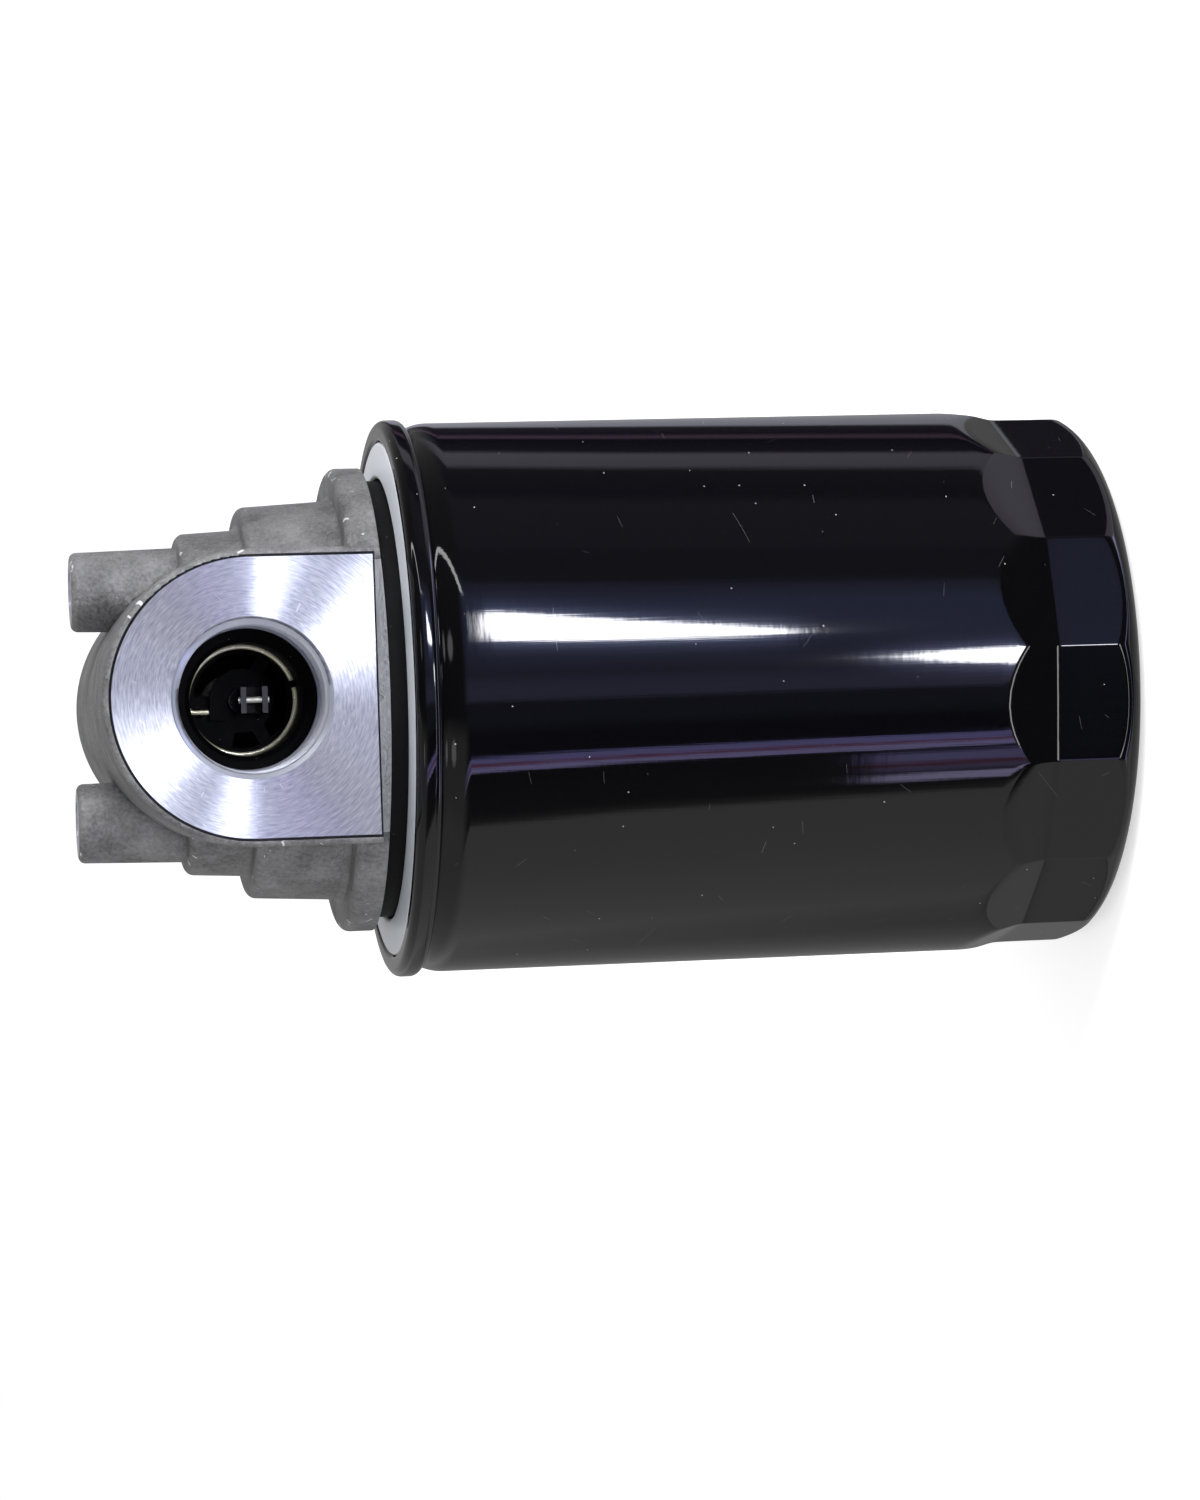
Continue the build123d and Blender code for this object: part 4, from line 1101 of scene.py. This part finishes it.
# %% [markdown]
# ## Light
# The can is a black mirror, so its look is the room's. For glossy rays the world's colour is a
# formula of direction: of its slope, which is its height, and of its angle about the vertical,
# counted from the camera's side. Three bands of slope each have a ramp of colours over the angle:
# the room that the can's body mirrors, the ground below it and the dark above it. A step in a ramp
# shows as an edge that runs along the can. Rays from the camera see plain white, and matte
# surfaces get an even light.

# %% World
world = bpy.data.worlds.new("studio")
bpy.context.scene.world = world
world.use_nodes = True
sky = world.node_tree
towards = sky.nodes.new("ShaderNodeTexCoord").outputs["Generated"]


def sky_math(operation, *values):
    """The output of a Math node of the world."""
    return math_node(sky, operation, *values)


direction = add_node(sky, "SeparateXYZ", Vector=towards).outputs
slope = direction["Z"]
ahead = sky_math("MULTIPLY", direction["Y"], -1.0)
degrees = sky_math("MULTIPLY", sky_math("ARCTAN2", direction["X"], ahead), 180 / math.pi)

# %% Colours of the bands
# Stops of (degrees, colour). A colour of one number is a grey.
TABLE_SIDE = (
    (-180, 0.24), (-150, 0.24), (-134, 0.27), (-123, 0.38), (-114, 0.54), (-90, 0.62), (-53, 0.6),
    (-51, 0.18), (-48, 0.06), (-30, 0.03), (-29.5, (1.9, 1.7, 3.4)), (-28.3, (1.6, 1.5, 3.2)),
    (-27.9, (0.9, 0.15, 0.25)), (-27.0, (0.9, 0.15, 0.25)), (-26.6, (1.2, 1.1, 2.6)),
    (-24.5, (1.1, 1.0, 2.4)), (-23.8, (0.02, 0.02, 0.04)), (-16, (0.02, 0.02, 0.04)),
    (-11, (0.07, 0.08, 0.12)), (-4, (0.07, 0.07, 0.12)), (-2.6, (0.32, 0.31, 0.56)),
    (0, (0.34, 0.32, 0.6)),
)
LAMP_SIDE = (
    (0, (0.34, 0.32, 0.6)), (3, (0.3, 0.29, 0.55)), (7, (0.2, 0.2, 0.38)), (14, (0.25, 0.27, 0.52)),
    (24, (0.3, 0.35, 0.68)), (36, (0.3, 0.36, 0.72)), (40.5, (0.24, 0.27, 0.5)),
    (44, (0.19, 0.18, 0.35)), (46, (0.08, 0.08, 0.12)), (58, (0.08, 0.07, 0.11)),
    (62, (0.12, 0.11, 0.16)), (84, (0.11, 0.11, 0.15)), (89, (0.05, 0.04, 0.07)),
    (104, (0.06, 0.06, 0.08)), (108, (0.5, 0.49, 0.6)), (117, (0.48, 0.45, 0.56)),
    (120, (0.05, 0.04, 0.07)), (131, (0.01, 0.01, 0.02)), (133.5, (0.22, 0.14, 0.22)),
    (138, (0.03, 0.02, 0.04)), (147, (0.04, 0.04, 0.05)), (150, (0.5, 0.5, 0.6)), (180, 0.3),
)
GROUND = (
    (-180, 0.24), (-134, 0.3), (-114, 0.5), (-90, 0.58), (-60, 0.56), (-50, 0.03), (45, 0.03),
    (60, 0.12), (75, (0.66, 0.62, 0.76)), (110, (0.66, 0.62, 0.76)), (125, 0.2), (180, 0.3),
)
ABOVE = (
    (-180, 0.36), (-60, 0.45), (-50, 0.35), (-20, 0.3), (-10, 0.03), (8, 0.03), (50, 0.06),
    (90, 0.08), (140, 0.2), (180, 0.4),
)
SHELF = (
    (-180, 0.0), (-47, 0.0), (-45.5, (2.2, 2.0, 3.4)), (-43.5, (2.2, 2.0, 3.4)),
    (-42.5, (0.05, 0.04, 0.06)), (-40, (0.6, 0.5, 1.1)), (-38, (0.5, 0.1, 0.15)),
    (-36, (0.9, 0.8, 1.8)), (-33, (0.9, 0.8, 1.8)), (-31.5, (0.1, 0.08, 0.2)), (-29.5, 0.0), (0, 0.0),
)
print("stops of the body's ramps:", len(TABLE_SIDE) + len(LAMP_SIDE))

# %% Ramps over the angle
LEFT_BEND = 1.2
RIGHT_BEND = 0.6
MIDDLE_SLOPE = -0.176


def rgb(color):
    """A colour as three numbers. One number alone is a grey."""
    return color if isinstance(color, tuple) else (color,) * 3


def ramp(angle, stops):
    """The colour at an angle, from stops that go from the lowest to the highest angle."""
    low, high = stops[0][0], stops[-1][0]
    node = add_node(sky, "ValToRGB", Fac=share_of(sky, angle, low, high))
    elements = node.color_ramp.elements
    while len(elements) < len(stops):
        elements.new(0.5)
    for element, (degrees_at, color) in zip(elements, stops):
        element.position = (degrees_at - low) / (high - low)
        element.color = (*rgb(color), 1.0)
    return node.outputs["Color"]


def bent(bend):
    """The angle times 1 - bend (slope - MIDDLE_SLOPE). Straight edges of a room bend so."""
    return sky_math("MULTIPLY", degrees, sky_math("MULTIPLY_ADD", slope, -bend, 1 + bend * MIDDLE_SLOPE))


on_lamp_side = sky_math("GREATER_THAN", degrees, 0.0)
body_band = mixed(sky, on_lamp_side, ramp(bent(LEFT_BEND), TABLE_SIDE), ramp(bent(RIGHT_BEND), LAMP_SIDE))
below_band = share_of(sky, slope, low=-0.34, high=-0.36, curve="SMOOTHSTEP")
above_band = share_of(sky, slope, low=-0.118, high=0.15, curve="SMOOTHSTEP")
room = mixed(sky, below_band, body_band, ramp(degrees, GROUND))
room = mixed(sky, above_band, room, ramp(degrees, ABOVE))
print("ramps in the world:", sum(node.type == "VALTORGB" for node in sky.nodes))

# %% [markdown]
# ## Lamps in the mirror
# The long streak on the can is a strip lamp, mirrored by a round body: a lens shape with a rounded
# head, a fading tail and a soft glow. Real lamps would also light the casting, so the lamps are
# drawn into the world for glossy rays only. Small patches and boxes stand for the lights that the
# turned pad fans out into bright sectors.

# %% Shapes of the lamps
CORE_EDGE = 0.8
GLOW_FADE = 0.45


def window(value, low, high, soft):
    """1 between low and high, falling softly to 0 over the width soft outside them."""
    rise = share_of(sky, value, low - soft, low, "SMOOTHSTEP")
    fall = share_of(sky, value, high + soft, high, "SMOOTHSTEP")
    return sky_math("MULTIPLY", rise, fall)


def patch(slopes, angles, path=slope):
    """A soft-edged patch. slopes and angles are each (low, high, soft)."""
    return sky_math("MULTIPLY", window(path, *slopes), window(degrees, *angles))


def strip_lamp(middle, turn, widest, start, end, soft, past=0.0, nose=0.0):
    """The core and the glow of a lens-shaped strip that runs from the slope start to end.

    At slope s its middle angle is middle + turn (s - start), and its half width is
    widest sqrt((s - end) / (start - end)), so it narrows to a point at end. Beyond start it goes
    on in full width over the slope past. Over the slope nose it is rounded off, where the half
    width is multiplied by sqrt(1 - u^2) and u goes from 0 to 1. The glow is
    exp(-GLOW_FADE d) at d degrees beyond the half width.
    """
    along = share_of(sky, slope, end, start)
    half = sky_math("MULTIPLY", sky_math("SQRT", along), widest)
    if nose:
        into = share_of(sky, slope, start, start + nose)
        left = sky_math("SUBTRACT", 1.0, sky_math("MULTIPLY", into, into))
        half = sky_math("MULTIPLY", half, sky_math("SQRT", left))
    centre = sky_math("MULTIPLY_ADD", sky_math("SUBTRACT", slope, start), turn, middle)
    off = sky_math("ABSOLUTE", sky_math("SUBTRACT", degrees, centre))
    beyond = sky_math("SUBTRACT", off, half)
    inside = share_of(sky, beyond, CORE_EDGE, -CORE_EDGE, "SMOOTHSTEP")
    lit = window(slope, min(start, end) - past, max(start, end) + nose, soft)
    fade = sky_math("EXPONENT", sky_math("MULTIPLY", sky_math("MAXIMUM", beyond, 0.0), -GLOW_FADE))
    return sky_math("MULTIPLY", inside, lit), sky_math("MULTIPLY", fade, lit)


def soft_box(aim, inner, outer):
    """A round soft box about the direction aim: 1 within inner degrees of it, 0 beyond outer."""
    low, high = math.cos(math.radians(outer)), math.cos(math.radians(inner))
    cosine = vector_math(sky, "DOT_PRODUCT", towards, Vector(aim).normalized())
    return share_of(sky, cosine, low, high, "SMOOTHSTEP")


# %% Lamps of the room
CORE_LEVEL = 30.0
GLOW_COLOR = (1.9, 2.2, 3.8)
PATCH_LEAN = -0.02

near_core, near_glow = strip_lamp(
    middle=27.75, turn=62.0, widest=6.0, start=-0.124, end=-0.216, soft=0.0015, nose=0.0045,
)
far_core, far_glow = strip_lamp(
    middle=9.0, turn=20.0, widest=4.2, start=-0.275, end=-0.24, soft=0.012, past=0.05,
)
leaning = sky_math("MULTIPLY_ADD", degrees, PATCH_LEAN, slope)
lamps = (
    (window(slope, low=-0.4, high=-0.238, soft=0.012), ramp(bent(LEFT_BEND), SHELF)),
    (sky_math("ADD", near_core, far_core), rgb(CORE_LEVEL)),
    (sky_math("ADD", near_glow, far_glow), GLOW_COLOR),
    (patch(slopes=(-0.41, -0.39, 0.01), angles=(-24.0, 10.0, 2.0)), rgb(6.5)),
    (patch(slopes=(-0.86, -0.82, 0.02), angles=(-60.0, 100.0, 10.0)), (2.0, 2.1, 4.0)),
    (patch(slopes=(-0.9, -0.84, 0.02), angles=(44.0, 80.0, 4.0), path=leaning), rgb(7.0)),
    (soft_box(aim=(-0.38, -0.79, 0.48), inner=3, outer=6), (1.2, 1.2, 1.3)),
    (soft_box(aim=(0.32, -0.80, 0.50), inner=3, outer=7), (1.5, 1.5, 1.6)),
)
for mask, color in lamps:
    lit = add_node(sky, "VectorMath", {"operation": "SCALE"}, i0=color, Scale=mask).outputs[0]
    room = vector_math(sky, "ADD", room, lit)
print("colours added to the room:", len(lamps))

# %% What each kind of ray sees
SOFT_LEVEL = 0.65

path = sky.nodes.new("ShaderNodeLightPath").outputs
seen = sky_math("MAXIMUM", path["Is Camera Ray"], path["Is Transmission Ray"])
sky_color = mixed(sky, path["Is Glossy Ray"], rgb(SOFT_LEVEL), room)
sky.links.new(mixed(sky, seen, sky_color, rgb(1.0)), sky.nodes["Background"].inputs["Color"])
print("nodes in the world:", len(sky.nodes))

# %% [markdown]
# ## Floor and soft lamps
# The photograph's ground is white. The floor keeps the filter's shadow, and a little glow of its own
# for the camera lifts it to the white behind. Two large lamps light the casting softly from the
# front. Neither they nor the floor are mirrored, because the room of the world already is.

# %% Floor
FLOOR_HALF = 8.0
FLOOR_DROP = 0.0002
FLOOR_GLOW = 0.55

floor_mesh = bpy.data.meshes.new("floor")
corners = [(x * FLOOR_HALF, y * FLOOR_HALF, -FLOOR_DROP) for x, y in ((-1, -1), (1, -1), (1, 1), (-1, 1))]
floor_mesh.from_pydata(corners, [], [(0, 1, 2, 3)])
floor = new_object("floor", floor_mesh)
material, tree, shader, _ = new_material(
    "floor", (0.8, 0.8, 0.8), roughness=0.9, Specular_IOR_Level=0.0, Emission_Color=(1.0, 1.0, 1.0),
)
camera_ray = tree.nodes.new("ShaderNodeLightPath").outputs["Is Camera Ray"]
tree.links.new(math_node(tree, "MULTIPLY", camera_ray, FLOOR_GLOW), shader["Emission Strength"])
floor_mesh.materials.append(material)
floor.visible_glossy = False
floor.visible_shadow = False

# %% Soft lamps
LAMP_SIZE = 0.7
LAMP_TARGET = (0.0, 0.0, 0.12)


def soft_lamp(name, place, watts):
    """A square lamp that faces the filter. It lights matte surfaces and isn't mirrored."""
    data = bpy.data.lights.new(name, "AREA")
    data.size = LAMP_SIZE
    data.energy = watts
    lamp = new_object(name, data)
    lamp.location = place
    lamp.rotation_euler = (Vector(LAMP_TARGET) - lamp.location).to_track_quat("-Z", "Y").to_euler()
    lamp.visible_glossy = False


soft_lamp("key_lamp", place=(0.95, -0.65, 0.45), watts=24.0)
soft_lamp("fill_lamp", place=(-0.1, -1.15, 0.1), watts=8.0)
print("lamps:", sorted(lamp.name for lamp in bpy.data.lights))

# %% [markdown]
# ## Picture
# A view transform for films would turn the white ground grey, so the picture keeps the Standard one.

# %% Picture settings
bpy.context.scene.view_settings.view_transform = "Standard"
